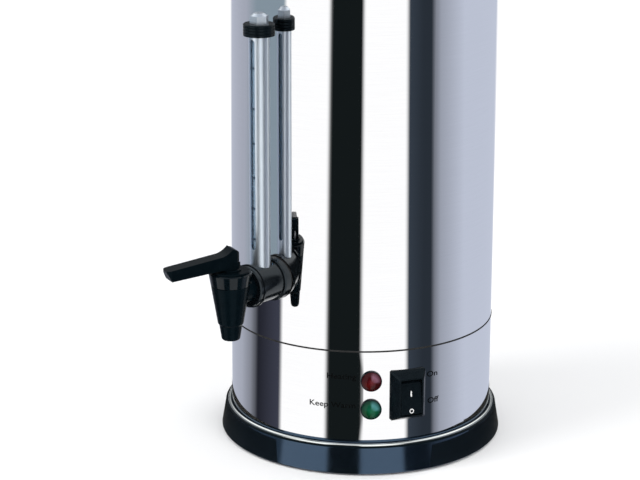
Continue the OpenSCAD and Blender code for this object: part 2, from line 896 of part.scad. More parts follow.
module lamp_bezels() {
    color([0.08, 0.08, 0.08]) at_lamps([-1, 1]) difference() {
        union() {
            difference() {
                translate([0, 0, body_r / 2]) cylinder(r = lamp_r, h = lamp_front - body_r / 2);
                core(body_r + close_gap);
            }
            translate([0, 0, lamp_back]) cylinder(r = lamp_barrel_r, h = lamp_front - lamp_back - 1);
        }
        translate([0, 0, lens_seat]) cylinder(r = lens_r + close_gap, h = far);
    }
}

module lamp_lens() {
    ball_r = (lens_r * lens_r + lens_rise * lens_rise) / (2 * lens_rise);
    translate([0, 0, lens_seat]) {
        cylinder(r = lens_r, h = lamp_front - lens_seat);
        intersection() {
            translate([0, 0, lamp_front - lens_seat + lens_rise - ball_r]) sphere(r = ball_r, $fn = 96);
            cylinder(r = lens_r, h = far);
        }
    }
}

module red_lens() {
    color([0.55, 0.05, 0.08]) at_lamps([1]) lamp_lens();
}

module green_lens() {
    color([0.0, 0.35, 0.22]) at_lamps([-1]) lamp_lens();
}

module lamp_nuts() {
    color([0.2, 0.2, 0.2]) at_lamps([-1, 1]) translate([0, 0, inner_r - 1 - lamp_nut_t])
        hex_nut(lamp_nut_r, lamp_barrel_r + close_gap, lamp_nut_t);
}

// Arm of the tap, through the wall

module wall_gasket() {
    color([0.15, 0.15, 0.15]) outwards(tap_z) intersection() {
        difference() {
            cylinder(r = flange_r - 0.8, h = far);
            cylinder(r = shank_r + close_gap, h = far);
            core(body_r + close_gap);
        }
        core(body_r + wall_gasket_t);
    }
}

module gauge_tee() {
    flange_s = body_r + wall_gasket_t + flange_t;
    color([0.06, 0.06, 0.07]) difference() {
        outwards(tap_z) difference() {
            union() {
                bevelled(flange_r, flange_s, edge);
                bevelled(arm_r, tee_end, edge);
            }
            core(body_r + wall_gasket_t + close_gap);
            cylinder(r = way_r, h = far);
            cylinder(r = shank_r + close_gap, h = body_r + shank_out + close_gap);
            translate([0, 0, tee_end - spigot_depth - close_gap])
                cylinder(r = spigot_out_r + close_gap, h = far);
        }
        translate([0, -gauge_s, tap_z]) cylinder(r = glass_r - glass_wall, h = far);
        translate([0, -gauge_s, socket_foot]) cylinder(r = shield_r_out + close_gap, h = far);
    }
}

module tap_shank() {
    color([0.75, 0.75, 0.77]) outwards(tap_z) translate([0, 0, body_r - shank_in])
        tube(shank_r, way_r, shank_in + shank_out);
}

module inner_gasket() {
    color([0.15, 0.15, 0.15]) outwards(tap_z) intersection() {
        translate([0, 0, body_r - shank_in + nut_t + 1]) tube(nut_r, shank_r + close_gap, far);
        core(inner_r - close_gap);
    }
}

module shank_nut() {
    color([0.75, 0.75, 0.77]) outwards(tap_z) translate([0, 0, body_r - shank_in + 1])
        hex_nut(nut_r, shank_r + close_gap, nut_t);
}

module tap_lock_nut() {
    color([0.07, 0.07, 0.08]) outwards(tap_z) translate([0, 0, tee_end]) difference() {
        union() {
            cylinder(r = arm_r + lock_ring_over, h = lock_ring_t);
            bevelled(arm_r + lock_over, lock_t, edge);
        }
        translate([0, 0, -eps]) cylinder(r = spigot_out_r + close_gap, h = lock_t + 2 * eps);
    }
}

// Tap body, valve and bonnet, round the tap's upright axis

module at_tap(z) {
    translate([0, -tap_s, z]) children();
}

module tap_section() {
    polygon([
        [0, spout_z], [spout_tip_r - 0.7, spout_z], [spout_tip_r, spout_z + 0.9],
        [spout_top_r, spout_z + spout_h], [cone_foot_r, cone_foot_z],
        [tap_wall_r(groove_z - groove_w), groove_z - groove_w],
        [tap_wall_r(groove_z) - groove_d, groove_z - groove_w / 2],
        [tap_wall_r(groove_z), groove_z],
        [tap_top_r, tap_top_z - 0.8], [tap_top_r - 0.8, tap_top_z], [0, tap_top_z]
    ]);
}

// Radius of the cone at a height
function tap_wall_r(z) =
    cone_foot_r + (tap_top_r - cone_foot_r) * (z - cone_foot_z) / (tap_top_z - cone_foot_z);

module tap_body() {
    color([0.06, 0.06, 0.07]) difference() {
        union() {
            at_tap(0) rotate_extrude() tap_section();
            outwards(tap_z) {
                translate([0, 0, tee_end + lock_t]) cylinder(r = neck_r, h = tap_s - tee_end - lock_t);
                translate([0, 0, tee_end - spigot_depth])
                    cylinder(r = spigot_out_r, h = tap_s - tee_end);
            }
        }
        at_tap(spout_z - eps) cylinder(r = outlet_r, h = far);
        at_tap(valve_seat_z) cylinder(r = chamber_r, h = far);
        at_tap(tap_top_z - plug_h) cylinder(r = plug_r + close_gap, h = far);
        outwards(tap_z) translate([0, 0, body_r]) cylinder(r = way_r, h = tap_reach);
    }
}

module tap_bonnet() {
    color([0.06, 0.06, 0.07]) at_tap(0) rotate_extrude() polygon([
        [stem_r + close_gap, pocket_z], [pocket_r, pocket_z], [pocket_r, tap_top_z - plug_h],
        [plug_r, tap_top_z - plug_h], [plug_r, tap_top_z], [bonnet_r, tap_top_z],
        [bonnet_r, bonnet_top_z - 0.5], [bonnet_r - 0.5, bonnet_top_z],
        [seal_r, bonnet_top_z], [seal_r, bonnet_top_z - seal_depth],
        [stem_r + close_gap, bonnet_top_z - seal_depth]
    ]);
}

module stem_seal() {
    color([0.2, 0.2, 0.2]) at_tap(bonnet_top_z - seal_depth + close_gap)
        tube(seal_r - close_gap, stem_r + close_gap, seal_depth - 4 * close_gap);
}

// A round spring: rings of points along a helix, joined by triangles
function spring_mid(i) =
    let (t = i / (spring_turns * spring_steps), a = 360 * i / spring_steps)
    [spring_r * cos(a), spring_r * sin(a), spring_wire / 2 + t * (spring_len - spring_wire)];
function spring_ring(i) =
    let (a = 360 * i / spring_steps)
    [for (k = [0:spring_sides - 1]) let (b = 360 * k / spring_sides)
        spring_mid(i) + spring_wire / 2 * (cos(b) * [cos(a), sin(a), 0] + sin(b) * [0, 0, 1])];
spring_last = spring_turns * spring_steps;
spring_least_gap = min([for (i = [0:spring_last - spring_steps])
    norm(spring_mid(i) - spring_mid(i + spring_steps)) - spring_wire]);

module valve_spring() {
    echo(str("valve_spring least gap ", spring_least_gap));
    points = [for (i = [0:spring_last]) each spring_ring(i)];
    n = spring_sides;
    walls = [for (i = [0:spring_last - 1], k = [0:n - 1]) let (p = i * n + k, q = i * n + (k + 1) % n)
        each [[p, q, p + n], [q, q + n, p + n]]];
    ends = [for (k = [1:n - 2])
        each [[0, k + 1, k], [spring_last * n, spring_last * n + k, spring_last * n + k + 1]]];
    color("silver") at_tap(spring_foot_z) polyhedron(points, concat(walls, ends));
}

module valve_stem() {
    color([0.75, 0.75, 0.77]) at_tap(0) difference() {
        union() {
            translate([0, 0, cup_z + 1.5]) cylinder(r = stem_tip_r, h = cup_h);
            translate([0, 0, cup_top_z]) cylinder(r = spring_r + spring_wire / 2, h = stem_flange_t);
            translate([0, 0, cup_top_z]) cylinder(r = stem_r, h = pin_z - cup_top_z);
            translate([0, 0, pin_z]) sphere(r = stem_r);
        }
        translate([0, 0, pin_z]) at_az(-lever_turn) rotate([0, 90, 0])
            cylinder(r = pin_r + close_gap / 2, h = far, center = true);
    }
}

module seat_cup() {
    color([0.55, 0.2, 0.15]) at_tap(0) rotate_extrude() polygon([
        [0, cup_z], [cup_r - 1.2, cup_z], [cup_r, cup_z + 1], [cup_r - 1.6, cup_top_z],
        [stem_tip_r + close_gap, cup_top_z], [stem_tip_r + close_gap, cup_z + 1.5 - close_gap],
        [0, cup_z + 1.5 - close_gap]
    ]);
}

module lever_pin() {
    color("silver") at_tap(pin_z) at_az(-lever_turn) rotate([0, 90, 0])
        cylinder(r = pin_r, h = lever_w - 0.6, center = true);
}

module cam_washer() {
    color([0.09, 0.09, 0.1]) at_tap(cam_washer_z) rotate_extrude() polygon([
        [stem_r + fit_gap, 0], [washer_r, 0], [washer_r, cam_washer_t - 0.4],
        [washer_r - 0.4, cam_washer_t], [stem_r + fit_gap, cam_washer_t]
    ]);
}

// The lever's heel. Its distance from the pin grows evenly with the angle, so it is the involute of a
// circle, and the valve lifts in proportion to the lever's angle.
function heel_point(a) =
    let (h = heel_h + cam_rate * a * PI / 180)
    [-h * sin(a) - cam_rate * cos(a), -h * cos(a) + cam_rate * sin(a)];
heel = [for (i = [0:cam_steps]) heel_point(lever_angle * i / cam_steps)];
heel_back = heel[cam_steps];

// Side view of the lever: outwards from the pin, then up
module lever_side() {
    bar_foot = bar_lift - heel_h;
    neck_w = bar_foot + lever_bar_t + neck_rise;
    back_u = heel_back[0];
    foot_u = lever_len - lever_slant;
    end_u = lever_len + hub_over;
    heel_u = neck_u - heel_front;
    under_u = neck_u + heel_front;
    polygon(concat(
        heel,
        lean([back_u, back_start], [back_u, lever_head_h - back_round],
            [-crown_back, lever_head_h - crown_drop], sweep_steps),
        lean([0, lever_head_h], [neck_u - neck_bend, neck_w + cheek_h], [neck_u, neck_w], sweep_steps),
        [
            [end_u, neck_w - (end_u - neck_u) * tan(lever_droop)],
            [foot_u, bar_foot - (foot_u - neck_u) * tan(under_droop)]
        ],
        lean([under_u, bar_foot - heel_front * tan(under_droop)], [heel_u + cheek_h, bar_foot],
            [heel_u, -heel_h], sweep_steps)
    ));
}

// What lies outside the lever's round hub, above the two cheeks of the heel
module hub_corners() {
    hub_r = lever_w / 2 + hub_over;
    translate([0, -heel_back[0] - hub_r, cheek_h]) difference() {
        translate([-lever_w, 0, 0]) cube([2 * lever_w, 2 * hub_r, lever_head_h]);
        translate([0, 0, -eps]) cylinder(r = hub_r, h = lever_head_h + 2 * eps);
    }
}

module tap_lever() {
    color([0.05, 0.05, 0.06]) at_tap(pin_z) at_az(-lever_turn) difference() {
        intersection() {
            rotate([90, 0, -90]) linear_extrude(lever_w, center = true) lever_side();
            translate([0, -(lever_len + heel_back[0]) / 2, -far / 2]) linear_extrude(far)
                round_rect(lever_w, lever_len - heel_back[0], lever_round);
        }
        hub_corners();
        rotate([90, 0, -90]) linear_extrude(fork_w, center = true)
            translate([fork_room - far, fork_room - far]) square([far, far]);
        rotate([0, 90, 0]) cylinder(r = pin_r + close_gap, h = far, center = true);
    }
}

// Sight gauge

module at_gauge(z) {
    translate([0, -gauge_s, z]) children();
}

module gauge_glass() {
    color([0.75, 0.85, 0.9, 0.4]) at_gauge(socket_foot)
        tube(glass_r, glass_r - glass_wall, gauge_collar_top - socket_foot - 1);
}

module gauge_shield() {
    color([0.75, 0.77, 0.8]) at_gauge(0) difference() {
        translate([0, 0, socket_top - shield_depth])
            tube(shield_r_out, shield_r_out - tube_wall, shield_depth + shield_h + gauge_collar_lap);
        translate([0, 0, (slot_foot_z + slot_top_z) / 2]) rotate([90, 0, 0])
            linear_extrude(far, center = true) slot_shape(slot_w, slot_top_z - slot_foot_z);
    }
}

module gauge_lower_seal() {
    color([0.2, 0.2, 0.2]) at_gauge(socket_foot)
        tube(shield_r_out, glass_r + close_gap, lower_seal_t);
}

module gauge_collar() {
    pitch = gauge_collar_h / (collar_grooves + 1);
    seal_top = shield_top_z + gauge_collar_lap + upper_seal_t;
    color([0.05, 0.05, 0.06]) at_gauge(0) rotate_extrude() difference() {
        polygon([
            [shield_r_out + close_gap, shield_top_z], [gauge_collar_r, shield_top_z],
            [gauge_collar_r, gauge_collar_top - collar_bevel],
            [gauge_collar_r - collar_bevel, gauge_collar_top],
            [glass_r + close_gap, gauge_collar_top], [glass_r + close_gap, seal_top],
            [shield_r_out + close_gap, seal_top]
        ]);
        for (i = [1:collar_grooves]) translate([gauge_collar_r, shield_top_z + i * pitch])
            rotate(45) square(collar_groove_w / sqrt(2), center = true);
    }
}

module gauge_upper_seal() {
    color([0.2, 0.2, 0.2]) at_gauge(shield_top_z + gauge_collar_lap)
        tube(shield_r_out, glass_r + close_gap, upper_seal_t);
}

module gauge_nut() {
    color([0.78, 0.8, 0.82]) at_gauge(gauge_collar_top) difference() {
        union() {
            cylinder(r = gauge_nut_r, h = gauge_nut_h - gauge_nut_dome, $fn = 6);
            translate([0, 0, gauge_nut_h - gauge_nut_dome - eps])
                cylinder(r1 = gauge_nut_r - 1.2, r2 = gauge_nut_r - 3.4, h = gauge_nut_dome);
        }
        translate([0, 0, -eps]) cylinder(r = glass_r - glass_wall, h = 2);
        cylinder(r = vent_r, h = far);
    }
}

// Side handles

module handle() {
    foot_s = body_r + handle_foot_t;
    for (end = [-1, 1]) at_az(end * handle_half) outwards(handle_z) difference() {
        union() {
            translate([0, 0, body_r / 2]) bevelled(handle_foot_r, foot_s - body_r / 2, edge);
            translate([0, 0, body_r / 2]) linear_extrude(grip_mid_r + grip_r + leg_over - body_r / 2)
                slot_shape(2 * (grip_r + leg_over), grip_h + 2 * leg_over);
        }
        core(body_r + close_gap);
        cylinder(r = handle_screw_r + close_gap, h = body_r + handle_screw_len - 6);
    }
    translate([0, 0, handle_z]) rotate([0, 0, -90 - handle_half]) rotate_extrude(angle = 2 * handle_half)
        translate([grip_mid_r, 0]) slot_shape(2 * grip_r, grip_h);
}

module handle_left() {
    color([0.06, 0.06, 0.07]) at_az(-90) handle();
}

module handle_right() {
    color([0.06, 0.06, 0.07]) at_az(90) handle();
}

module at_handle_screws() {
    for (side = [-90, 90], end = [-1, 1]) at_az(side + end * handle_half) outwards(handle_z) children();
}

module handle_screws() {
    head_s = inner_r - 1 - handle_washer_t;
    head_t = 2.2;
    color("silver") at_handle_screws() difference() {
        union() {
            translate([0, 0, head_s - head_t]) cylinder(r = handle_screw_r * 2, h = head_t);
            translate([0, 0, head_s - eps]) cylinder(r = handle_screw_r, h = handle_screw_len - 8);
        }
        translate([0, 0, head_s - head_t]) cross_cut(handle_screw_r * 2);
    }
}

module handle_washers() {
    color([0.3, 0.3, 0.3]) at_handle_screws() intersection() {
        translate([0, 0, inner_r - 1 - handle_washer_t])
            tube(handle_washer_r, handle_screw_r + close_gap, far);
        core(inner_r - close_gap);
    }
}

// Lid

module lid() {
    color([0.8, 0.8, 0.82]) difference() {
        union() {
            translate([0, 0, lid_z]) tube(lid_r, dome_r - 1, sheet_t);
            translate([0, 0, lid_z - lid_lip_h]) tube(lid_r, lid_r - sheet_t, lid_lip_h + eps);
            translate([0, 0, lid_z - lid_skirt_h])
                tube(lid_skirt_r, lid_skirt_r - sheet_t, lid_skirt_h + eps);
            intersection() {
                translate([0, 0, dome_top_z - dome_ball_r]) difference() {
                    sphere(r = dome_ball_r, $fn = 128);
                    sphere(r = dome_ball_r - sheet_t, $fn = 128);
                }
                translate([0, 0, lid_z]) cylinder(r = dome_r, h = far);
            }
        }
        cylinder(r = knob_screw_r + fit_gap, h = far);
        translate([0, steam_hole_s, 0]) cylinder(r = steam_hole_r, h = far);
    }
}

module lid_knob() {
    foot_z = dome_top_z - knob_stem_r * knob_stem_r / (2 * dome_ball_r);
    color([0.06, 0.06, 0.07]) difference() {
        rotate_extrude() {
            translate([0, foot_z]) square([knob_stem_r, knob_h]);
            translate([0, foot_z + knob_h - 2 * knob_round]) square([knob_r - knob_round, 2 * knob_round]);
            translate([knob_r - knob_round, foot_z + knob_h - knob_round]) circle(r = knob_round, $fn = 48);
            polygon(concat(
                [[0, foot_z + 6]],
                lean([knob_stem_r, foot_z + 6], [knob_stem_r, foot_z + knob_h - 2 * knob_round],
                    [knob_r - knob_round, foot_z + knob_h - 2 * knob_round], sweep_steps),
                [[0, foot_z + knob_h - 2 * knob_round + eps]]
            ));
        }
        translate([0, 0, dome_top_z - dome_ball_r]) sphere(r = dome_ball_r + close_gap, $fn = 128);
        cylinder(r = knob_screw_r + close_gap, h = dome_top_z + knob_h - knob_crown);
    }
}

module knob_screw() {
    head_z = dome_top_z - sheet_t - 2.6;
    color("silver") difference() {
        union() {
            translate([0, 0, head_z]) cylinder(r = 2 * knob_screw_r, h = 2.4);
            translate([0, 0, head_z + 0.6]) cylinder(r = knob_screw_r, h = knob_h - knob_crown);
        }
        translate([0, 0, head_z]) cross_cut(2 * knob_screw_r);
    }
}

// Percolator, which stands on the tank floor

module pump_base() {
    wall = 1;
    color([0.75, 0.75, 0.77]) translate([0, 0, floor_z + floor_t]) difference() {
        cylinder(r1 = pump_base_r, r2 = pump_r + 1.5, h = pump_base_h);
        translate([0, 0, -eps])
            cylinder(r1 = pump_base_r - wall, r2 = pump_r + 1.5 - wall, h = pump_base_h - wall);
        cylinder(r = pump_r + close_gap, h = far);
        for (a = [0:60:300]) rotate([0, 0, a]) translate([pump_base_r - 3, 0, 0]) rotate([0, 0, 45])
            cylinder(r = 3, h = 3, center = true, $fn = 4);
    }
}

module pump_tube() {
    foot_z = floor_z + floor_t + pump_base_h - 6;
    color([0.75, 0.75, 0.77]) {
        translate([0, 0, foot_z]) tube(pump_r, pump_r - pump_wall, pump_top_z - foot_z);
        translate([0, 0, basket_foot_z - basket_stop_h]) tube(basket_stop_r, pump_r - eps, basket_stop_h);
    }
}

module basket_holes() {
    for (k = [1:basket_rings]) let (r = k * (basket_r - 6) / (basket_rings + 0.4))
        for (a = [0:basket_hole_step - 1]) rotate([0, 0, (a + k % 2 / 2) * 360 / basket_hole_step])
            translate([r, 0, -far / 2]) cylinder(r = basket_hole_r, h = far, $fn = 24);
}

module basket_section() {
    wall_r = basket_r - sheet_t;
    floor_top = basket_foot_z + sheet_t;
    sleeve_r = basket_sleeve_r + sheet_t;
    roll_z = basket_top_z - basket_roll_r;
    polygon([
        [basket_sleeve_r, basket_foot_z], [basket_r, basket_foot_z], [basket_r, roll_z], [wall_r, roll_z],
        [wall_r, floor_top], [sleeve_r, floor_top],
        [sleeve_r, basket_top_z - sleeve_drop], [basket_sleeve_r, basket_top_z - sleeve_drop]
    ]);
    translate([wall_r + basket_roll_r, roll_z]) circle(r = basket_roll_r, $fn = 32);
}

module coffee_basket() {
    color([0.78, 0.78, 0.8]) difference() {
        rotate_extrude() basket_section();
        intersection() {
            basket_holes();
            translate([0, 0, basket_foot_z - eps]) cylinder(r = basket_r - 3, h = sheet_t + 2 * eps);
        }
    }
}

module basket_cover() {
    neck_r_in = pump_r + basket_cover_gap;
    ring_r = basket_r - sheet_t - cover_ring_gap;
    color([0.78, 0.78, 0.8]) difference() {
        union() {
            translate([0, 0, basket_top_z]) tube(basket_r + basket_roll_r, neck_r_in, sheet_t);
            translate([0, 0, basket_top_z - cover_ring_h]) tube(ring_r, ring_r - sheet_t, cover_ring_h + eps);
            translate([0, 0, basket_top_z]) tube(neck_r_in + sheet_t, neck_r_in, cover_neck_h);
        }
        intersection() {
            basket_holes();
            translate([0, 0, basket_top_z - eps]) cylinder(r = basket_r - 5, h = sheet_t + 2 * eps);
        }
    }
}

base_moulding();
trim_ring();
base_cover();
rubber_feet();
cover_screws();
skirt();
seam_gasket();
tank();
tie_rods();
tie_nuts();
shield_spacers();
heat_shield();
heater_plate();
heating_element();
boil_thermostat();
keep_warm_thermostat();
thermal_cutout();
terminal_block();
mains_inlet();
inlet_pins();
inlet_screws();
switch_housing();
rocker();
switch_terminals();
lamp_bezels();
red_lens();
green_lens();
lamp_nuts();
wall_gasket();
gauge_tee();
tap_shank();
inner_gasket();
shank_nut();
tap_lock_nut();
tap_body();
tap_bonnet();
stem_seal();
valve_spring();
valve_stem();
seat_cup();
lever_pin();
cam_washer();
tap_lever();
gauge_glass();
gauge_shield();
gauge_lower_seal();
gauge_upper_seal();
gauge_collar();
gauge_nut();
handle_left();
handle_right();
handle_screws();
handle_washers();
lid();
lid_knob();
knob_screw();
pump_base();
pump_tube();
coffee_basket();
basket_cover();
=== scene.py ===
import json
import math

import bmesh
import bpy
from mathutils import Matrix, Vector


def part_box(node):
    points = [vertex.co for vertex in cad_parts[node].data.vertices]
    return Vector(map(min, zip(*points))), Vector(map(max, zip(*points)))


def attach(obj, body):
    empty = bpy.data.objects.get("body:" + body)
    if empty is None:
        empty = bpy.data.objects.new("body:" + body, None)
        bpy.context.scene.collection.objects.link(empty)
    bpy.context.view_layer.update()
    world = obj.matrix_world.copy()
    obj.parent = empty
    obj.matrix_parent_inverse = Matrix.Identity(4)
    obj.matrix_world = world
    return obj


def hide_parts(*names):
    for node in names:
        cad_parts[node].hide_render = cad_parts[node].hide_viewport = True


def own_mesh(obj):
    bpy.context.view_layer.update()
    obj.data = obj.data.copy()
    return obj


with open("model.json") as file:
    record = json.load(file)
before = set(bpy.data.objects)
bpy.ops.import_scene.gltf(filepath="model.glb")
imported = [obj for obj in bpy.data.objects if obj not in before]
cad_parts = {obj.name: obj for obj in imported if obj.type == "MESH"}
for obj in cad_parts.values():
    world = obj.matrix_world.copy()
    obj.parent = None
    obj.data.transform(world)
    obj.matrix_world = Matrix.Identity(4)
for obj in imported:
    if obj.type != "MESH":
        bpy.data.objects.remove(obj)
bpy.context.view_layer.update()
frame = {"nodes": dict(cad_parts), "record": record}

MM = 0.001
nodes = frame["nodes"]

# Sizes shared with the solids, in millimetres and degrees from the tap's side. The lip's middle is a radius
# and a height. The rocker's points are a height from its pivot and a distance outward.
BODY_R = 110.0
SEAM_Z = (103.0, 104.0)
LIP_MIDDLE = (113.8, 22.3)
LIP_ROUND = 1.4
PANEL_Z = 65.7
SWITCH_AZ = 59.3
ROCKER_PIVOT_R = 116.0
ROCKER_FOOT = (-13.9, 4.5)
ROCKER_CREASE = (11.5, 1.2)
LAMP_AZ = 43.7
RED_LAMP_Z = 78.7
GREEN_LAMP_Z = 54.7
LENS_R = 7.9
GAUGE_R = 127.0
GLASS_R = 6.0
COLLAR_BORE_R = (8.3, 6.05)
COLLAR_STEP = 4.5
TAP_GROOVE_Z = 164.2

# Camera: places in metres, lens and sensor in millimetres, and its azimuth from the tap's side in degrees
CAMERA_AT = Vector((1.0415, -1.2779, 0.6586))
CAMERA_TO = Vector((-0.0267, -0.02275, 0.1635))
CAMERA_ROLL = math.radians(0.17)
CAMERA_LENS = 115.3125
SENSOR_W = 36.0
CAMERA_AZ = 40.4


# Shader nodes

# The part of a noise's range that is used
NOISE_SPAN = (0.3, 0.7)

# Sockets of a colour mix
MIX_SHARE = 0
MIX_FIRST = 6
MIX_SECOND = 7
MIX_RESULT = 2


def put(tree, node, key, value):
    """Sets a socket, given by its name or number, to a value or links it."""
    socket = node.inputs[key]
    if isinstance(value, bpy.types.NodeSocket):
        tree.links.new(value, socket)
    elif socket.type == "RGBA":
        socket.default_value = (*value, 1.0)
    else:
        socket.default_value = value


def put_all(tree, node, values):
    for key, value in values.items():
        put(tree, node, key, value)


def add(tree, kind, **sockets):
    """A node with its sockets set to values or linked."""
    node = tree.nodes.new(kind)
    put_all(tree, node, sockets)
    return node


def calculation(tree, kind, operation, values):
    node = tree.nodes.new(kind)
    node.operation = operation
    put_all(tree, node, dict(enumerate(values)))
    return node.outputs


def math_node(tree, operation, *values):
    return calculation(tree, "ShaderNodeMath", operation, values)["Value"]


def vector_node(tree, operation, *values, result="Value"):
    return calculation(tree, "ShaderNodeVectorMath", operation, values)[result]


def new_material(name):
    material = bpy.data.materials.new(name)
    material.use_nodes = True
    return material, material.node_tree, material.node_tree.nodes["Principled BSDF"]


def object_place(tree):
    return add(tree, "ShaderNodeTexCoord").outputs["Object"]


def stretched(tree, stretch):
    return add(tree, "ShaderNodeMapping", Vector=object_place(tree), Scale=Vector(stretch)).outputs[0]


def noise(tree, place, scale, detail=3.0):
    return add(tree, "ShaderNodeTexNoise", Vector=place, Scale=scale, Detail=detail).outputs[0]


def between(tree, value, low, high, start=NOISE_SPAN[0], end=NOISE_SPAN[1]):
    """A number that goes from low to high while the value goes from start to end."""
    node = add(tree, "ShaderNodeMapRange", Value=value)
    put_all(tree, node, {"From Min": start, "From Max": end, "To Min": low, "To Max": high})
    return node.outputs[0]


def tints(tree, value, stops):
    """A colour that goes through the stops, each a place from 0 to 1 and a colour."""
    ramp = add(tree, "ShaderNodeValToRGB", Fac=value)
    points = ramp.color_ramp.elements
    while len(points) < len(stops):
        points.new(0.5)
    for point, (place, colour) in zip(points, stops):
        point.position = place
        point.color = (*colour, 1.0)
    return ramp.outputs[0]


def two_tints(tree, value, dark, light, span=NOISE_SPAN):
    return tints(tree, value, list(zip(span, (dark, light))))


def blend(tree, share, first, second):
    """The first colour where the share is 0 and the second where it is 1."""
    node = tree.nodes.new("ShaderNodeMix")
    node.data_type = "RGBA"
    put_all(tree, node, {MIX_SHARE: share, MIX_FIRST: first, MIX_SECOND: second})
    return node.outputs[MIX_RESULT]


def bump(tree, height, depth, strength=1.0, **under):
    """A relief of that depth, on top of another one if its Normal is given."""
    node = add(tree, "ShaderNodeBump", Strength=strength, Distance=depth, Height=height, **under)
    return node.outputs[0]


# Places on the body's side

def panel_axes(azimuth):
    """Across, up and outward directions of the body's side at an azimuth."""
    a = math.radians(azimuth)
    out = Vector((math.sin(a), -math.cos(a), 0))
    return Vector((math.cos(a), math.sin(a), 0)), Vector((0, 0, 1)), out


def panel_point(azimuth, radius, z):
    a = math.radians(azimuth)
    return Vector((radius * math.sin(a), -radius * math.cos(a), z)) * MM


# Materials

WHITE = (1.0, 1.0, 1.0)

# Values that are the same all over a surface
PLAIN = {}
METAL = {"Metallic": 1.0}
MOULDED = {"Specular IOR Level": 0.45, "Specular Tint": (0.75, 0.90, 1.0), "IOR": 1.5}
POLISHED = {"Specular IOR Level": 0.9, "Specular Tint": (0.40, 0.64, 1.0), "IOR": 1.7}
DULL = {"Specular IOR Level": 0.12, "Specular Tint": (0.70, 0.88, 1.0), "IOR": 1.5}
DARK = {"Specular IOR Level": 0.05, "Specular Tint": (0.55, 0.82, 1.0), "IOR": 1.5}
MATT = {"Specular IOR Level": 0.3}
INK = {"Specular IOR Level": 0.04}
GLASS = {"Transmission Weight": 0.6, "IOR": 1.47}
LENS = {"Specular IOR Level": 0.15, "IOR": 1.49}
SKIN = {"Coat Roughness": 0.05, "Coat IOR": 1.5}
PAINT = {"Roughness": 0.9, "Emission Color": WHITE, "Specular IOR Level": 0.1}

# Scale of the patches of roughness against those of colour, and the detail of the grain
ROUGH_PATCH = 1.7
GRAIN_DETAIL = 2.0

# Finishes: two close tints, scale of their patches, range of roughness, scale of the grain and its depth in
# metres, values that are the same all over, and the stretch of a brushed pattern
FINISHES = {
    "inner_steel": (
        (0.60, 0.60, 0.61), (0.70, 0.70, 0.71), 60, (0.24, 0.36), 260, 0.00001, METAL, (1, 1, 30)),
    "fastener_steel": (
        (0.50, 0.50, 0.51), (0.62, 0.62, 0.62), 500, (0.28, 0.42), 1800, 0.00002, METAL),
    "heater_aluminium": (
        (0.55, 0.55, 0.56), (0.68, 0.68, 0.69), 140, (0.42, 0.6), 900, 0.00006, METAL),
    "element_sheath": (
        (0.20, 0.18, 0.17), (0.34, 0.31, 0.29), 180, (0.4, 0.6), 1500, 0.00003, METAL),
    "contact_brass": (
        (0.58, 0.45, 0.19), (0.72, 0.58, 0.28), 380, (0.2, 0.34), 1800, 0.00002, METAL),
    "satin_tube": (
        (0.78, 0.87, 0.98), (0.85, 0.93, 1.00), 24, (0.36, 0.44), 90, 0.000008, METAL, (30, 30, 1)),
    "satin_bead": (
        (0.84, 0.88, 0.86), (0.90, 0.94, 0.92), 60, (0.11, 0.17), 300, 0.000002, METAL),
    "black_moulding": (
        (0.0030, 0.0042, 0.0055), (0.0046, 0.0062, 0.0080), 90, (0.10, 0.17), 1500, 0.000006, MOULDED),
    "base_black": (
        (0.0026, 0.0044, 0.0062), (0.0040, 0.0062, 0.0086), 60, (0.07, 0.13), 1500, 0.000004, POLISHED),
    "switch_black": (
        (0.0024, 0.0044, 0.0060), (0.0036, 0.0062, 0.0082), 160, (0.16, 0.24), 2600, 0.000003, DULL),
    "tap_black": (
        (0.0014, 0.0036, 0.0052), (0.0024, 0.0052, 0.0072), 130, (0.18, 0.28), 2300, 0.000008, DARK),
    "cone_black": (
        (0.0012, 0.0036, 0.0054), (0.0020, 0.0052, 0.0074), 130, (0.20, 0.30), 2300, 0.000008, DARK),
    "matt_black": (
        (0.012, 0.0125, 0.013), (0.018, 0.0185, 0.019), 150, (0.42, 0.58), 2200, 0.00005, MATT),
    "black_rubber": (
        (0.014, 0.014, 0.014), (0.024, 0.024, 0.024), 240, (0.68, 0.84), 1700, 0.00006, MATT),
    "red_silicone": (
        (0.26, 0.050, 0.034), (0.34, 0.070, 0.046), 300, (0.5, 0.64), 1700, 0.00004, PLAIN),
    "cream_ceramic": (
        (0.66, 0.60, 0.48), (0.76, 0.70, 0.58), 200, (0.22, 0.4), 1200, 0.00005, PLAIN),
    "brown_phenolic": (
        (0.060, 0.026, 0.014), (0.100, 0.045, 0.024), 420, (0.3, 0.46), 1700, 0.00004, PLAIN),
    "clear_glass": (
        (0.40, 0.56, 0.72), (0.48, 0.64, 0.80), 120, (0.03, 0.07), 400, 0.000004, GLASS),
    "black_print": (
        (0.0012, 0.0014, 0.0015), (0.0022, 0.0025, 0.0027), 900, (0.4, 0.55), 2600, 0.00001, INK),
    "white_print": (
        (0.74, 0.74, 0.74), (0.86, 0.86, 0.85), 1400, (0.4, 0.55), 2600, 0.00001, MATT),
    "blue_print": (
        (0.012, 0.030, 0.060), (0.020, 0.045, 0.085), 900, (0.3, 0.45), 2600, 0.00001, MATT),
    "flag_cloth": (
        (0.095, 0.090, 0.076), (0.115, 0.108, 0.092), 20, (0.8, 0.9), 300, 0.0001, PLAIN),
}


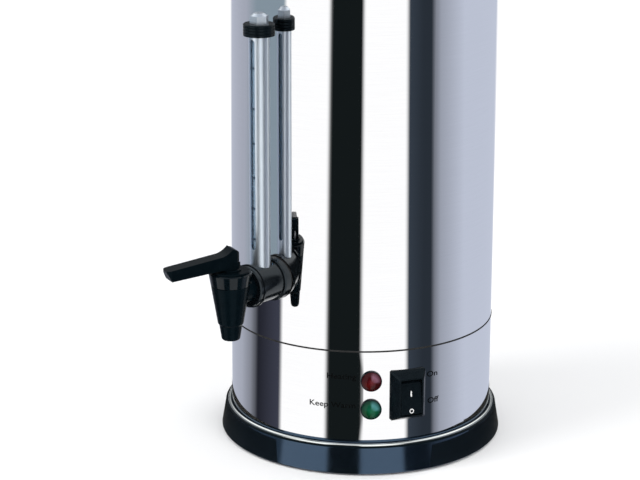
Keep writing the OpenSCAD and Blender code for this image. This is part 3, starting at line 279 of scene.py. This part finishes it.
def surface(name, dark, light, patch, rough, grain, depth, fixed, stretch=(1, 1, 1)):
    """Two close tints in patches, roughness in a range, and a fine grain that stands out by depth."""
    material, tree, shader = new_material(name)
    place = stretched(tree, stretch)
    put(tree, shader, "Base Color", two_tints(tree, noise(tree, place, patch), dark, light))
    put(tree, shader, "Roughness", between(tree, noise(tree, place, patch * ROUGH_PATCH), *rough))
    put(tree, shader, "Normal", bump(tree, noise(tree, place, grain, GRAIN_DETAIL), depth))
    put_all(tree, shader, fixed)
    return material


# Polished sheet: stretch, scale and detail of its lines, wipe marks and wave
POLISH_LINES = ((6, 6, 900), 5.0, 4.0)
WIPE_MARKS = ((1, 1, 0.35), 26.0, 5.0)
SHEET_WAVE = ((1, 1, 0.25), 9.0, 1.0)
STEEL_TINT = (0.90, 0.90, 0.91)
STEEL_ROUGH = (0.018, 0.045)
LINE_SHADE = 0.965
LINE_SPAN = (0.35, 0.65)
LINE_DEPTH = 0.0000012
LINE_STRENGTH = 0.6
WAVE_DEPTH = 0.00015


def shaded(colour, share):
    return tuple(c * share for c in colour)


def polished_steel():
    """Mirror sheet: faint polishing lines round the body, wipe marks and a slight wave."""
    material, tree, shader = new_material("polished_steel")
    lines, wipes, wave = (
        noise(tree, stretched(tree, stretch), scale, detail)
        for stretch, scale, detail in (POLISH_LINES, WIPE_MARKS, SHEET_WAVE))
    tint = two_tints(tree, lines, shaded(STEEL_TINT, LINE_SHADE), STEEL_TINT, LINE_SPAN)
    put(tree, shader, "Base Color", tint)
    put(tree, shader, "Roughness", between(tree, wipes, *STEEL_ROUGH))
    normal = bump(tree, wave, WAVE_DEPTH)
    put(tree, shader, "Normal", bump(tree, lines, LINE_DEPTH, LINE_STRENGTH, Normal=normal))
    put_all(tree, shader, METAL)
    return material


# Lamp lens: the plain part of a painted quarter, and the parts of the radius over which the core fades
# into the quarters and these fade into the darker rim, which is painted shade
QUARTER_PLAIN = (0.125, 0.875)
CORE_SPAN = (0.08, 0.5)
RIM_SHADE_SPAN = (0.6, 1.0)
LENS_SPECK = 900.0
LENS_ROUGH = (0.05, 0.10)
LENS_DEPTH = 0.00001
LENS_STRENGTH = 0.4

# Painted quarters of the lamps, clockwise from the lower end of the cap: the pale upper right one is a
# painted highlight, the reflection of a white panel, and the darker ones stand for the depth of a clear
# cap. With their cores, and their rims of painted shade
RED_PAINTED_QUARTERS = [
    (0.060, 0.004, 0.003), (0.036, 0.002, 0.003), (0.180, 0.080, 0.115), (0.036, 0.005, 0.005),
]
RED_CORE = (0.095, 0.010, 0.013)
RED_RIM_SHADE = (0.030, 0.002, 0.003)
GREEN_PAINTED_QUARTERS = [
    (0.003, 0.052, 0.017), (0.004, 0.060, 0.030), (0.060, 0.215, 0.210), (0.005, 0.070, 0.033),
]
GREEN_CORE = (0.006, 0.095, 0.045)
GREEN_RIM_SHADE = (0.002, 0.020, 0.012)


def lamp_lens(name, shades, core, rim_shade, lamp_z):
    """Glossy coloured cap: soft quarters round a plain core stand for a clear lens, with a painted
    highlight in the pale upper right quarter and painted shade darkening the rim.
    """
    material, tree, shader = new_material(name)
    place = object_place(tree)
    across, up, _ = panel_axes(LAMP_AZ)
    centre = panel_point(LAMP_AZ, BODY_R, lamp_z)
    local = vector_node(tree, "SUBTRACT", place, centre, result="Vector")
    reach = [vector_node(tree, "DOT_PRODUCT", local, axis) for axis in (across, up)]
    turn = between(tree, math_node(tree, "ARCTAN2", *reach), 0.0, 1.0, -math.pi, math.pi)
    stops = [
        ((number + part) / len(shades), shade)
        for number, shade in enumerate(shades) for part in QUARTER_PLAIN]
    # The pale upper right quarter is a painted highlight, a reflection fixed to the lens
    painted_quarters = tints(tree, turn, stops)
    squares = [math_node(tree, "MULTIPLY", r, r) for r in reach]
    radius = math_node(tree, "SQRT", math_node(tree, "ADD", *squares))
    inner = between(tree, radius, 0.0, 1.0, *(LENS_R * part * MM for part in CORE_SPAN))
    # Share of the rim's painted shade, darker towards the edge of the lens
    edge = between(tree, radius, 0.0, 1.0, *(LENS_R * part * MM for part in RIM_SHADE_SPAN))
    put(tree, shader, "Base Color", blend(tree, edge, blend(tree, inner, core, painted_quarters), rim_shade))
    speck = noise(tree, place, LENS_SPECK)
    put(tree, shader, "Roughness", between(tree, speck, *LENS_ROUGH))
    put(tree, shader, "Normal", bump(tree, speck, LENS_DEPTH, LENS_STRENGTH))
    put_all(tree, shader, LENS)
    return material


# The tap's cone is glossier above its groove
GLOSS_WEIGHT = 0.5
GLOSS_EDGE = 0.3


def gloss_above(material, z):
    """A clear skin on the part of a surface above a height in millimetres."""
    tree = material.node_tree
    shader = tree.nodes["Principled BSDF"]
    height = add(tree, "ShaderNodeSeparateXYZ", Vector=object_place(tree)).outputs["Z"]
    weight = between(tree, height, 0.0, GLOSS_WEIGHT, (z - GLOSS_EDGE) * MM, z * MM)
    put(tree, shader, "Coat Weight", weight)
    put_all(tree, shader, SKIN)


materials = {name: surface(name, *finish) for name, finish in FINISHES.items()}
materials["polished_steel"] = polished_steel()
materials["red_lamp"] = lamp_lens("red_lamp", RED_PAINTED_QUARTERS, RED_CORE, RED_RIM_SHADE, RED_LAMP_Z)
materials["green_lamp"] = lamp_lens("green_lamp", GREEN_PAINTED_QUARTERS, GREEN_CORE, GREEN_RIM_SHADE, GREEN_LAMP_Z)
gloss_above(materials["cone_black"], TAP_GROOVE_Z)

# Nodes whose finish differs from that of their slot
SPECIAL = {
    "tap_body": "cone_black", "tap_lever": "tap_black", "tap_bonnet": "tap_black",
    "cam_washer": "tap_black", "lever_pin": "tap_black", "gauge_shield": "satin_tube",
    "gauge_nut": "satin_tube", "trim_ring": "satin_bead", "base_moulding": "base_black",
    "lamp_bezels": "switch_black",
}


def dress_solids():
    for part in frame["record"]["subparts"]:
        name = part["node"]
        slots = nodes[name].data.materials
        slots.clear()
        slots.append(materials[SPECIAL.get(name, part["material_slot"])])


dress_solids()


# Softened edges of moulded and turned pieces, with the width of each round in millimetres

EDGE_ROUNDS = {
    "switch_housing": 0.9, "rocker": 0.6, "tap_lever": 1.4, "gauge_nut": 0.35, "mains_inlet": 0.6,
}
EDGE_SEGMENTS = 2
EDGE_ANGLE = math.radians(32)
FLAT_ANGLE = math.radians(0.2)
WELD_GAP = 1e-6
NORMAL_WEIGHT = 80


def soften(name, width):
    """Small rounds along a solid's sharp edges."""
    piece = nodes[name]
    weld = piece.modifiers.new("weld", "WELD")
    weld.merge_threshold = WELD_GAP
    flat = piece.modifiers.new("flat", "DECIMATE")
    flat.decimate_type = "DISSOLVE"
    flat.angle_limit = FLAT_ANGLE
    edge = piece.modifiers.new("edge", "BEVEL")
    edge.width = width * MM
    edge.segments = EDGE_SEGMENTS
    edge.limit_method = "ANGLE"
    edge.angle_limit = EDGE_ANGLE
    edge.use_clamp_overlap = True
    shade = piece.modifiers.new("shade", "WEIGHTED_NORMAL")
    shade.weight = NORMAL_WEIGHT
    for face in piece.data.polygons:
        face.use_smooth = True


for node_name, round_width in EDGE_ROUNDS.items():
    soften(node_name, round_width)


# Meshes and pieces

RING_FACETS = 192


def new_piece(name, mesh, finish):
    piece = bpy.data.objects.new(name, mesh)
    bpy.context.scene.collection.objects.link(piece)
    mesh.materials.append(finish)
    return piece


def keep(name, mesh, finish, body):
    """A new piece of the object that moves with a body."""
    piece = new_piece(name, mesh, materials[finish])
    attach(piece, body)
    return piece


def bridge(bm, a, b):
    """Faces between two closed rows of points."""
    count = len(a)
    for k in range(count):
        bm.faces.new((a[k], a[(k + 1) % count], b[(k + 1) % count], b[k]))


def plain_mesh(name, bm):
    mesh = bpy.data.meshes.new(name)
    bm.to_mesh(mesh)
    bm.free()
    return mesh


def solid_mesh(name, bm):
    """A closed mesh whose faces look outward."""
    bmesh.ops.recalc_face_normals(bm, faces=bm.faces)
    return plain_mesh(name, bm)


def ring(name, profile, front=0.0, count=RING_FACETS, smooth=True):
    """A closed outline of radius and height, turned about an axis that far in front of the body's."""
    bm = bmesh.new()
    rows = []
    for i in range(count):
        a = math.tau * i / count
        spots = [Vector((r * math.sin(a), -front - r * math.cos(a), z)) for r, z in profile]
        rows.append([bm.verts.new(spot * MM) for spot in spots])
    for i in range(count):
        bridge(bm, rows[i], rows[(i + 1) % count])
    for face in bm.faces:
        face.smooth = smooth
    return solid_mesh(name, bm)


# Printed words: first and last azimuth in degrees, heights of the baseline and of a capital in millimetres

WORDS = {
    "mark_heating": ("Heating", 25.0, 37.4, 80.0, 4.8),
    "mark_keep_warm": ("Keep Warm", 17.4, 37.2, 55.4, 4.8),
    "mark_on": ("On", 68.2, 73.5, 77.7, 4.8),
    "mark_off": ("Off", 68.8, 74.4, 54.8, 4.9),
}

# Half the print's thickness, its lift off the wall and the widening of its outline in millimetres, and a
# capital's share of the type size
PRINT_T = 0.02
PRINT_LIFT = 0.05
BOLDER = 0.07
CAPITAL_SHARE = 0.73
LETTER_STEPS = 4


def word_mesh(words, height):
    """Letters as thin solids, with the given height of a capital in millimetres."""
    curve = bpy.data.curves.new(words, "FONT")
    curve.body = words
    curve.size = height / CAPITAL_SHARE
    curve.extrude = PRINT_T
    curve.offset = BOLDER
    curve.resolution_u = LETTER_STEPS
    holder = bpy.data.objects.new(words, curve)
    bpy.context.scene.collection.objects.link(holder)
    bpy.context.view_layer.update()
    mesh = bpy.data.meshes.new_from_object(holder.evaluated_get(bpy.context.evaluated_depsgraph_get()))
    bpy.data.objects.remove(holder)
    bpy.data.curves.remove(curve)
    return mesh


def print_on_body(name, words, first, last, base_z, height):
    """Words laid round the body from one azimuth to another."""
    mesh = word_mesh(words, height)
    left = min(v.co.x for v in mesh.vertices)
    right = max(v.co.x for v in mesh.vertices)
    for v in mesh.vertices:
        azimuth = first + (v.co.x - left) / (right - left) * (last - first)
        v.co = panel_point(azimuth, BODY_R + PRINT_LIFT + v.co.z, base_z + v.co.y)
    mesh.update()
    keep(name, mesh, "black_print", "urn")


for mark, print_values in WORDS.items():
    print_on_body(mark, *print_values)


# Signs on the rocker: a bar by width and height, a ring by its radii, and their heights from the pivot

SIGN_T = 0.03
BAR_SIZE = (1.1, 4.8)
BAR_UP = 3.0
RING_RADII = (1.9, 1.2)
RING_UP = -11.0


def outline_solid(name, outer, inner, height):
    """A flat solid between z = 0 and a height, with an outer outline and perhaps a hole."""
    bm = bmesh.new()
    loops = [outer] + ([inner] if inner else [])
    rings = [[[bm.verts.new((x, y, z)) for x, y in loop] for z in (0, height)] for loop in loops]
    for low, high in rings:
        bridge(bm, low, high)
    for level in (0, 1):
        if inner:
            bridge(bm, rings[0][level], rings[1][level])
        else:
            bm.faces.new(rings[0][level])
    return solid_mesh(name, bm)


def circle_points(radius, count=48):
    turns = [math.tau * i / count for i in range(count)]
    return [(radius * math.cos(a), radius * math.sin(a)) for a in turns]


def bar_points(width, height, count=8):
    """An upright bar with round ends."""
    r = width / 2
    points = []
    for end, first in ((height / 2 - r, 0.0), (-height / 2 + r, math.pi)):
        for i in range(count + 1):
            a = first + math.pi * i / count
            points.append((r * math.cos(a), end + r * math.sin(a)))
    return points


def on_rocker(name, outer, inner, up_at):
    """A sign on the rocker's lower face, at a height from its pivot."""
    mesh = outline_solid(name, outer, inner, SIGN_T)
    (up_a, out_a), (up_b, out_b) = ROCKER_FOOT, ROCKER_CREASE
    share = (up_at - up_a) / (up_b - up_a)
    out_at = out_a + share * (out_b - out_a)
    across, up, out = panel_axes(SWITCH_AZ)
    along = (up * (up_b - up_a) + out * (out_b - out_a)).normalized()
    place = Matrix((across, along, across.cross(along))).transposed().to_4x4()
    place.translation = panel_point(SWITCH_AZ, ROCKER_PIVOT_R + out_at, PANEL_Z + up_at)
    mesh.transform(place @ Matrix.Scale(MM, 4))
    keep(name, mesh, "white_print", "rocker")


on_rocker("rocker_mark_on", bar_points(*BAR_SIZE), None, BAR_UP)
on_rocker("rocker_mark_off", circle_points(RING_RADII[0]), circle_points(RING_RADII[1]), RING_UP)


# Level lines on the glass tube, in millimetres and degrees

LEVEL_Z = (194.1, 219.2, 244.3, 271.6, 299.4, 331.3)
LEVEL_HALF_ANGLE = 18.0
LEVEL_H = 1.6
LEVEL_T = 0.04
LEVEL_STEPS = 8


def level_mark(name, z):
    """A short painted line on the front of the glass tube."""
    bm = bmesh.new()
    rows = []
    for i in range(LEVEL_STEPS + 1):
        a = math.radians(-LEVEL_HALF_ANGLE + 2 * LEVEL_HALF_ANGLE * i / LEVEL_STEPS)
        section = []
        for out, side in ((0, -1), (LEVEL_T, -1), (LEVEL_T, 1), (0, 1)):
            r = GLASS_R + out
            spot = Vector((r * math.sin(a), -GAUGE_R - r * math.cos(a), z + side * LEVEL_H / 2))
            section.append(bm.verts.new(spot * MM))
        rows.append(section)
    for a, b in zip(rows, rows[1:]):
        bridge(bm, a, b)
    bm.faces.new(rows[0])
    bm.faces.new(rows[-1])
    keep(name, solid_mesh(name, bm), "blue_print", "urn")


for number, level_z in enumerate(LEVEL_Z):
    level_mark(f"level_mark_{number + 1}", level_z)


# The gasket's outer lip, a thin dark bead over the edges of both walls, in millimetres

SEAM_OVER = 0.2
SEAM_OUT = 0.35
SEAM_IN = 0.3
SEAM_STEPS = 12


def seam_lip():
    low, high = SEAM_Z
    middle = (low + high) / 2
    half = (high - low) / 2 + SEAM_OVER
    profile = [(BODY_R - SEAM_IN, middle - half)]
    for i in range(SEAM_STEPS + 1):
        a = math.pi * (i / SEAM_STEPS - 0.5)
        profile.append((BODY_R + SEAM_OUT * math.cos(a), middle + half * math.sin(a)))
    profile.append((BODY_R - SEAM_IN, middle + half))
    piece = keep("seam_lip", ring("seam_lip", profile), "black_rubber", "urn")


seam_lip()


# A thin dark band over the rounded lip of the base, outside the bright bead: painted shade for the dark
# crevice under the bead, in millimetres and degrees

SHADE_BAND_OUT = 0.1
SHADE_BAND_IN = 0.2
SHADE_BAND_FROM = 18
SHADE_BAND_TO = 90
SHADE_BAND_STEPS = 10
SHADE_BAND_INNER_R = 113.5


def lip_shade_band():
    r, z = LIP_MIDDLE
    steps = range(SHADE_BAND_STEPS + 1)
    turns = [math.radians(SHADE_BAND_FROM + (SHADE_BAND_TO - SHADE_BAND_FROM) * i / SHADE_BAND_STEPS) for i in steps]
    outer = LIP_ROUND + SHADE_BAND_OUT
    inner = LIP_ROUND - SHADE_BAND_IN
    profile = [(r + outer * math.cos(a), z + outer * math.sin(a)) for a in turns]
    profile += [(SHADE_BAND_INNER_R, z + outer), (SHADE_BAND_INNER_R, z + inner)]
    profile += [(r + inner * math.cos(a), z + inner * math.sin(a)) for a in reversed(turns)]
    # A dark band laid where shade falls in the crevice under the bright bead: painted shade
    piece = keep("lip_shade_band", ring("lip_shade_band", profile), "tap_black", "urn")


lip_shade_band()


# The gauge's collar, wider than its solid, with three grooves, in millimetres

COLLAR_R = 12.4
COLLAR_BEVEL = 0.7
COLLAR_GROOVES = 3
COLLAR_FACETS = 96
GROOVE_HALF = 0.4


def wide_collar():
    low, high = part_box("gauge_collar")
    foot = low[2] / MM
    top = high[2] / MM
    wide_bore, narrow_bore = COLLAR_BORE_R
    profile = [(wide_bore, foot), (COLLAR_R, foot)]
    for i in range(COLLAR_GROOVES):
        z = foot + (top - foot) * (i + 1) / (COLLAR_GROOVES + 1)
        profile += [(COLLAR_R, z - GROOVE_HALF), (COLLAR_R - GROOVE_HALF, z), (COLLAR_R, z + GROOVE_HALF)]
    profile += [(COLLAR_R, top - COLLAR_BEVEL), (COLLAR_R - COLLAR_BEVEL, top), (narrow_bore, top)]
    profile += [(narrow_bore, foot + COLLAR_STEP), (wide_bore, foot + COLLAR_STEP)]
    mesh = ring("wide_collar", profile, GAUGE_R, COLLAR_FACETS, smooth=False)
    piece = keep("wide_collar", mesh, "switch_black", "urn")
    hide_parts("gauge_collar")


wide_collar()


# The valve spring, as a piece of its own with its own copy of the mesh, fixed to the urn

def shortening_spring():
    mesh = nodes["valve_spring"].data.copy()
    mesh.materials.clear()
    piece = keep("spring_coil", mesh, "fastener_steel", "urn")
    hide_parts("valve_spring")
    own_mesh(piece)


shortening_spring()


# Floor, in metres: to the view it glows a little, and more so far from the urn

FLOOR_R = 14.0
FLOOR_FACETS = 96
FLOOR_TINTS = ((0.82, 0.82, 0.82), (0.84, 0.84, 0.84))
FLOOR_PATCH = 3.0
FLOOR_GLOW = (0.04, 0.8)
FLOOR_FADE = (0.5, 3.0)


def stage_piece(name, mesh, finish):
    """A thing round the object that isn't part of it."""
    piece = new_piece(name, mesh, finish)
    return piece


def floor_paint():
    material, tree, shader = new_material("floor")
    place = object_place(tree)
    put(tree, shader, "Base Color", two_tints(tree, noise(tree, place, FLOOR_PATCH), *FLOOR_TINTS))
    path = add(tree, "ShaderNodeLightPath").outputs
    seen = math_node(tree, "MAXIMUM", path["Is Camera Ray"], path["Is Glossy Ray"])
    seen = math_node(tree, "MAXIMUM", seen, path["Is Transmission Ray"])
    glow = between(tree, vector_node(tree, "LENGTH", place), *FLOOR_GLOW, *FLOOR_FADE)
    put(tree, shader, "Emission Strength", math_node(tree, "MULTIPLY", seen, glow))
    put_all(tree, shader, PAINT)
    return material


def floor():
    bm = bmesh.new()
    bmesh.ops.create_circle(bm, cap_ends=True, radius=FLOOR_R, segments=FLOOR_FACETS)
    piece = stage_piece("floor", plain_mesh("floor", bm), floor_paint())
    piece.visible_glossy = False


floor()


# A low dark cloth round the back and the sides of the base, seen only in reflections and lower at both
# ends, in millimetres, and in degrees from the camera's direction

CLOTH_R = 128.0
CLOTH_Z = (-30.0, 19.0)
CLOTH_ARC = (25, 326)
CLOTH_STEPS = 120
CLOTH_TAPER = 3
CLOTH_END = 0.1


def base_flag():
    bm = bmesh.new()
    foot, top = CLOTH_Z
    first, last = CLOTH_ARC
    rows = []
    for i in range(CLOTH_STEPS + 1):
        azimuth = CAMERA_AZ + first + (last - first) * i / CLOTH_STEPS
        share = min(1.0, min(i, CLOTH_STEPS - i) / CLOTH_TAPER)
        edge_z = foot + (top - foot) * (CLOTH_END + (1 - CLOTH_END) * share)
        rows.append([bm.verts.new(panel_point(azimuth, CLOTH_R, z)) for z in (foot, edge_z)])
    for a, b in zip(rows, rows[1:]):
        bm.faces.new((a[0], b[0], b[1], a[1]))
    piece = stage_piece("base_flag", plain_mesh("base_flag", bm), materials["flag_cloth"])
    piece.visible_camera = False
    piece.visible_diffuse = False
    piece.visible_transmission = False
    piece.visible_shadow = False


base_flag()


# Soft lights: places in metres and power in watts

LIGHTS = {
    "key": ((-1.6, -3.2, 3.6), 130),
    "fill": ((3.4, -1.0, 2.6), 60),
    "back": ((0.6, 3.2, 3.4), 60),
}
LIGHT_TO = Vector((0, 0, 0.2))
LIGHT_SIZE = 2.6


def soft_light(name, at, power):
    data = bpy.data.lights.new(name, "AREA")
    data.shape = "DISK"
    data.size = LIGHT_SIZE
    data.energy = power
    lamp = bpy.data.objects.new(name, data)
    lamp.location = at
    lamp.rotation_euler = (LIGHT_TO - Vector(at)).to_track_quat("-Z", "Y").to_euler()
    lamp.visible_glossy = False
    bpy.context.scene.collection.objects.link(lamp)


for light_name, light_values in LIGHTS.items():
    soft_light(light_name, *light_values)


# White panels, pale walls and dark flags round the urn, which its steel mirrors

LEFT_WALL = (0.405, 0.43, 0.51)
RIGHT_WALL = (0.442, 0.476, 0.568)
GREY_WALL = (0.225, 0.285, 0.335)
DARK_WALL = (0.15, 0.155, 0.165)
LEFT_FLAG = (0.0245, 0.0265, 0.039)
FRONT_FLAG = (0.0066, 0.0092, 0.0098)
RIGHT_FLAG = (0.022, 0.029, 0.0395)
ZENITH = (0.30, 0.32, 0.36)
PANEL_STRENGTH = 1.12

# Heights of a ray, from -1 to 1, between which one layer gives way to the next: the flag on the left to
# the grey wall above it, the walls at both sides to a darker tone, then the white ceiling and its greyer
# middle
FLAG_TOP = (-0.308, -0.297)
WALL_TOP = (-0.14, -0.07)
CEILING_FROM = (0.30, 0.60)
ZENITH_FROM = (0.72, 0.98)

# At the height -CLOSE_FROM of a ray the bands stand as listed. Above it they close in on the camera's
# direction, and below it they spread.
CLOSE_IN = 0.55
CLOSE_FROM = 0.33

# Each band: its end in degrees from the camera's direction, its colour, and the width of the fade into
# the next
LEFT_END = -75
FLAG_FADE = 3.5
LEFT_FADE = [(-167, WHITE, 8.0), (-147.5, shaded(LEFT_WALL, 1.08), 31.0)]
UPPER_LEFT = [*LEFT_FADE, (-120, shaded(LEFT_WALL, 0.89), 17.0), (LEFT_END, GREY_WALL, FLAG_FADE)]
LOWER_LEFT = [
    *LEFT_FADE,
    (-123.2, shaded(LEFT_WALL, 0.90), 15.4),
    (-112, shaded(LEFT_WALL, 0.57), 6.0),
    (-106, shaded(LEFT_WALL, 0.29), 5.0),
    (-91, shaded(LEFT_FLAG, 0.63), 24.0),
    (LEFT_END, shaded(LEFT_FLAG, 1.7), FLAG_FADE),
]
FRONT = [
    (-31, WHITE, FLAG_FADE),
    (-1.0, FRONT_FLAG, 3.0),
    (39, WHITE, FLAG_FADE),
    (48, shaded(RIGHT_FLAG, 1.5), 12.0),
    (64, shaded(RIGHT_FLAG, 0.95), FLAG_FADE),
]
RIGHT_FADE = [
    (68.9, shaded(RIGHT_WALL, 0.40), 6.2),
    (86, shaded(RIGHT_WALL, 0.72), 28.0),
    (167, shaded(RIGHT_WALL, 1.13), 8.0),
    (180, WHITE, 0.0),
]
LOW_BANDS = LOWER_LEFT + FRONT + RIGHT_FADE
MIDDLE_BANDS = UPPER_LEFT + FRONT + RIGHT_FADE
HIGH_BANDS = [(LEFT_END, DARK_WALL, FLAG_FADE), *FRONT, (180, DARK_WALL, 0.0)]


def band_colours(tree, turn, bands):
    stops = [(0.0, bands[0][1])]
    for (end, colour, fade), (_, after, _) in zip(bands, bands[1:]):
        stops.append(((end + 180 - fade / 2) / 360, colour))
        stops.append(((end + 180 + fade / 2) / 360, after))
    return tints(tree, turn, stops)


def surroundings():
    world = bpy.data.worlds.new("studio")
    world.use_nodes = True
    tree = world.node_tree
    tree.nodes.clear()
    way = add(tree, "ShaderNodeTexCoord").outputs["Generated"]
    x, y, z = add(tree, "ShaderNodeSeparateXYZ", Vector=way).outputs
    # A ray's share of a full turn, with the camera's direction at 0.5
    azimuth = math_node(tree, "ARCTAN2", x, math_node(tree, "MULTIPLY", y, -1.0))
    shifted = math_node(tree, "ADD", azimuth, math.pi * 3 - math.radians(CAMERA_AZ))
    turn = math_node(tree, "DIVIDE", math_node(tree, "MODULO", shifted, math.tau), math.tau)
    spread = math_node(tree, "ADD", math_node(tree, "MULTIPLY", z, CLOSE_IN), 1 + CLOSE_IN * CLOSE_FROM)
    aside = math_node(tree, "MULTIPLY", math_node(tree, "SUBTRACT", turn, 0.5), spread)
    turn = math_node(tree, "ADD", aside, 0.5)
    colours = band_colours(tree, turn, LOW_BANDS)
    layers = (
        (FLAG_TOP, band_colours(tree, turn, MIDDLE_BANDS)),
        (WALL_TOP, band_colours(tree, turn, HIGH_BANDS)),
        (CEILING_FROM, WHITE),
        (ZENITH_FROM, ZENITH),
    )
    for span, layer in layers:
        colours = blend(tree, between(tree, z, 0.0, 1.0, *span), colours, layer)
    studio = add(tree, "ShaderNodeBackground", Color=colours, Strength=PANEL_STRENGTH).outputs[0]
    white = add(tree, "ShaderNodeBackground", Color=WHITE, Strength=1.0).outputs[0]
    path = add(tree, "ShaderNodeLightPath").outputs
    seen = math_node(tree, "MAXIMUM", path["Is Camera Ray"], path["Is Transmission Ray"])
    both = tree.nodes.new("ShaderNodeMixShader")
    put_all(tree, both, dict(enumerate((seen, studio, white))))
    add(tree, "ShaderNodeOutputWorld", Surface=both.outputs[0])
    bpy.context.scene.world = world


surroundings()


def camera():
    data = bpy.data.cameras.new("camera")
    data.lens = CAMERA_LENS
    data.sensor_width = SENSOR_W
    data.sensor_fit = "HORIZONTAL"
    forward = (CAMERA_TO - CAMERA_AT).normalized()
    right = forward.cross(Vector((0, 0, 1))).normalized()
    up = right.cross(forward)
    c = math.cos(CAMERA_ROLL)
    s = math.sin(CAMERA_ROLL)
    place = Matrix((right * c + up * s, up * c - right * s, -forward)).transposed().to_4x4()
    place.translation = CAMERA_AT
    piece = bpy.data.objects.new("camera", data)
    piece.matrix_world = place
    bpy.context.scene.collection.objects.link(piece)
    bpy.context.scene.camera = piece


camera()
bpy.context.scene.view_settings.view_transform = "Standard"

bpy.context.view_layer.update()
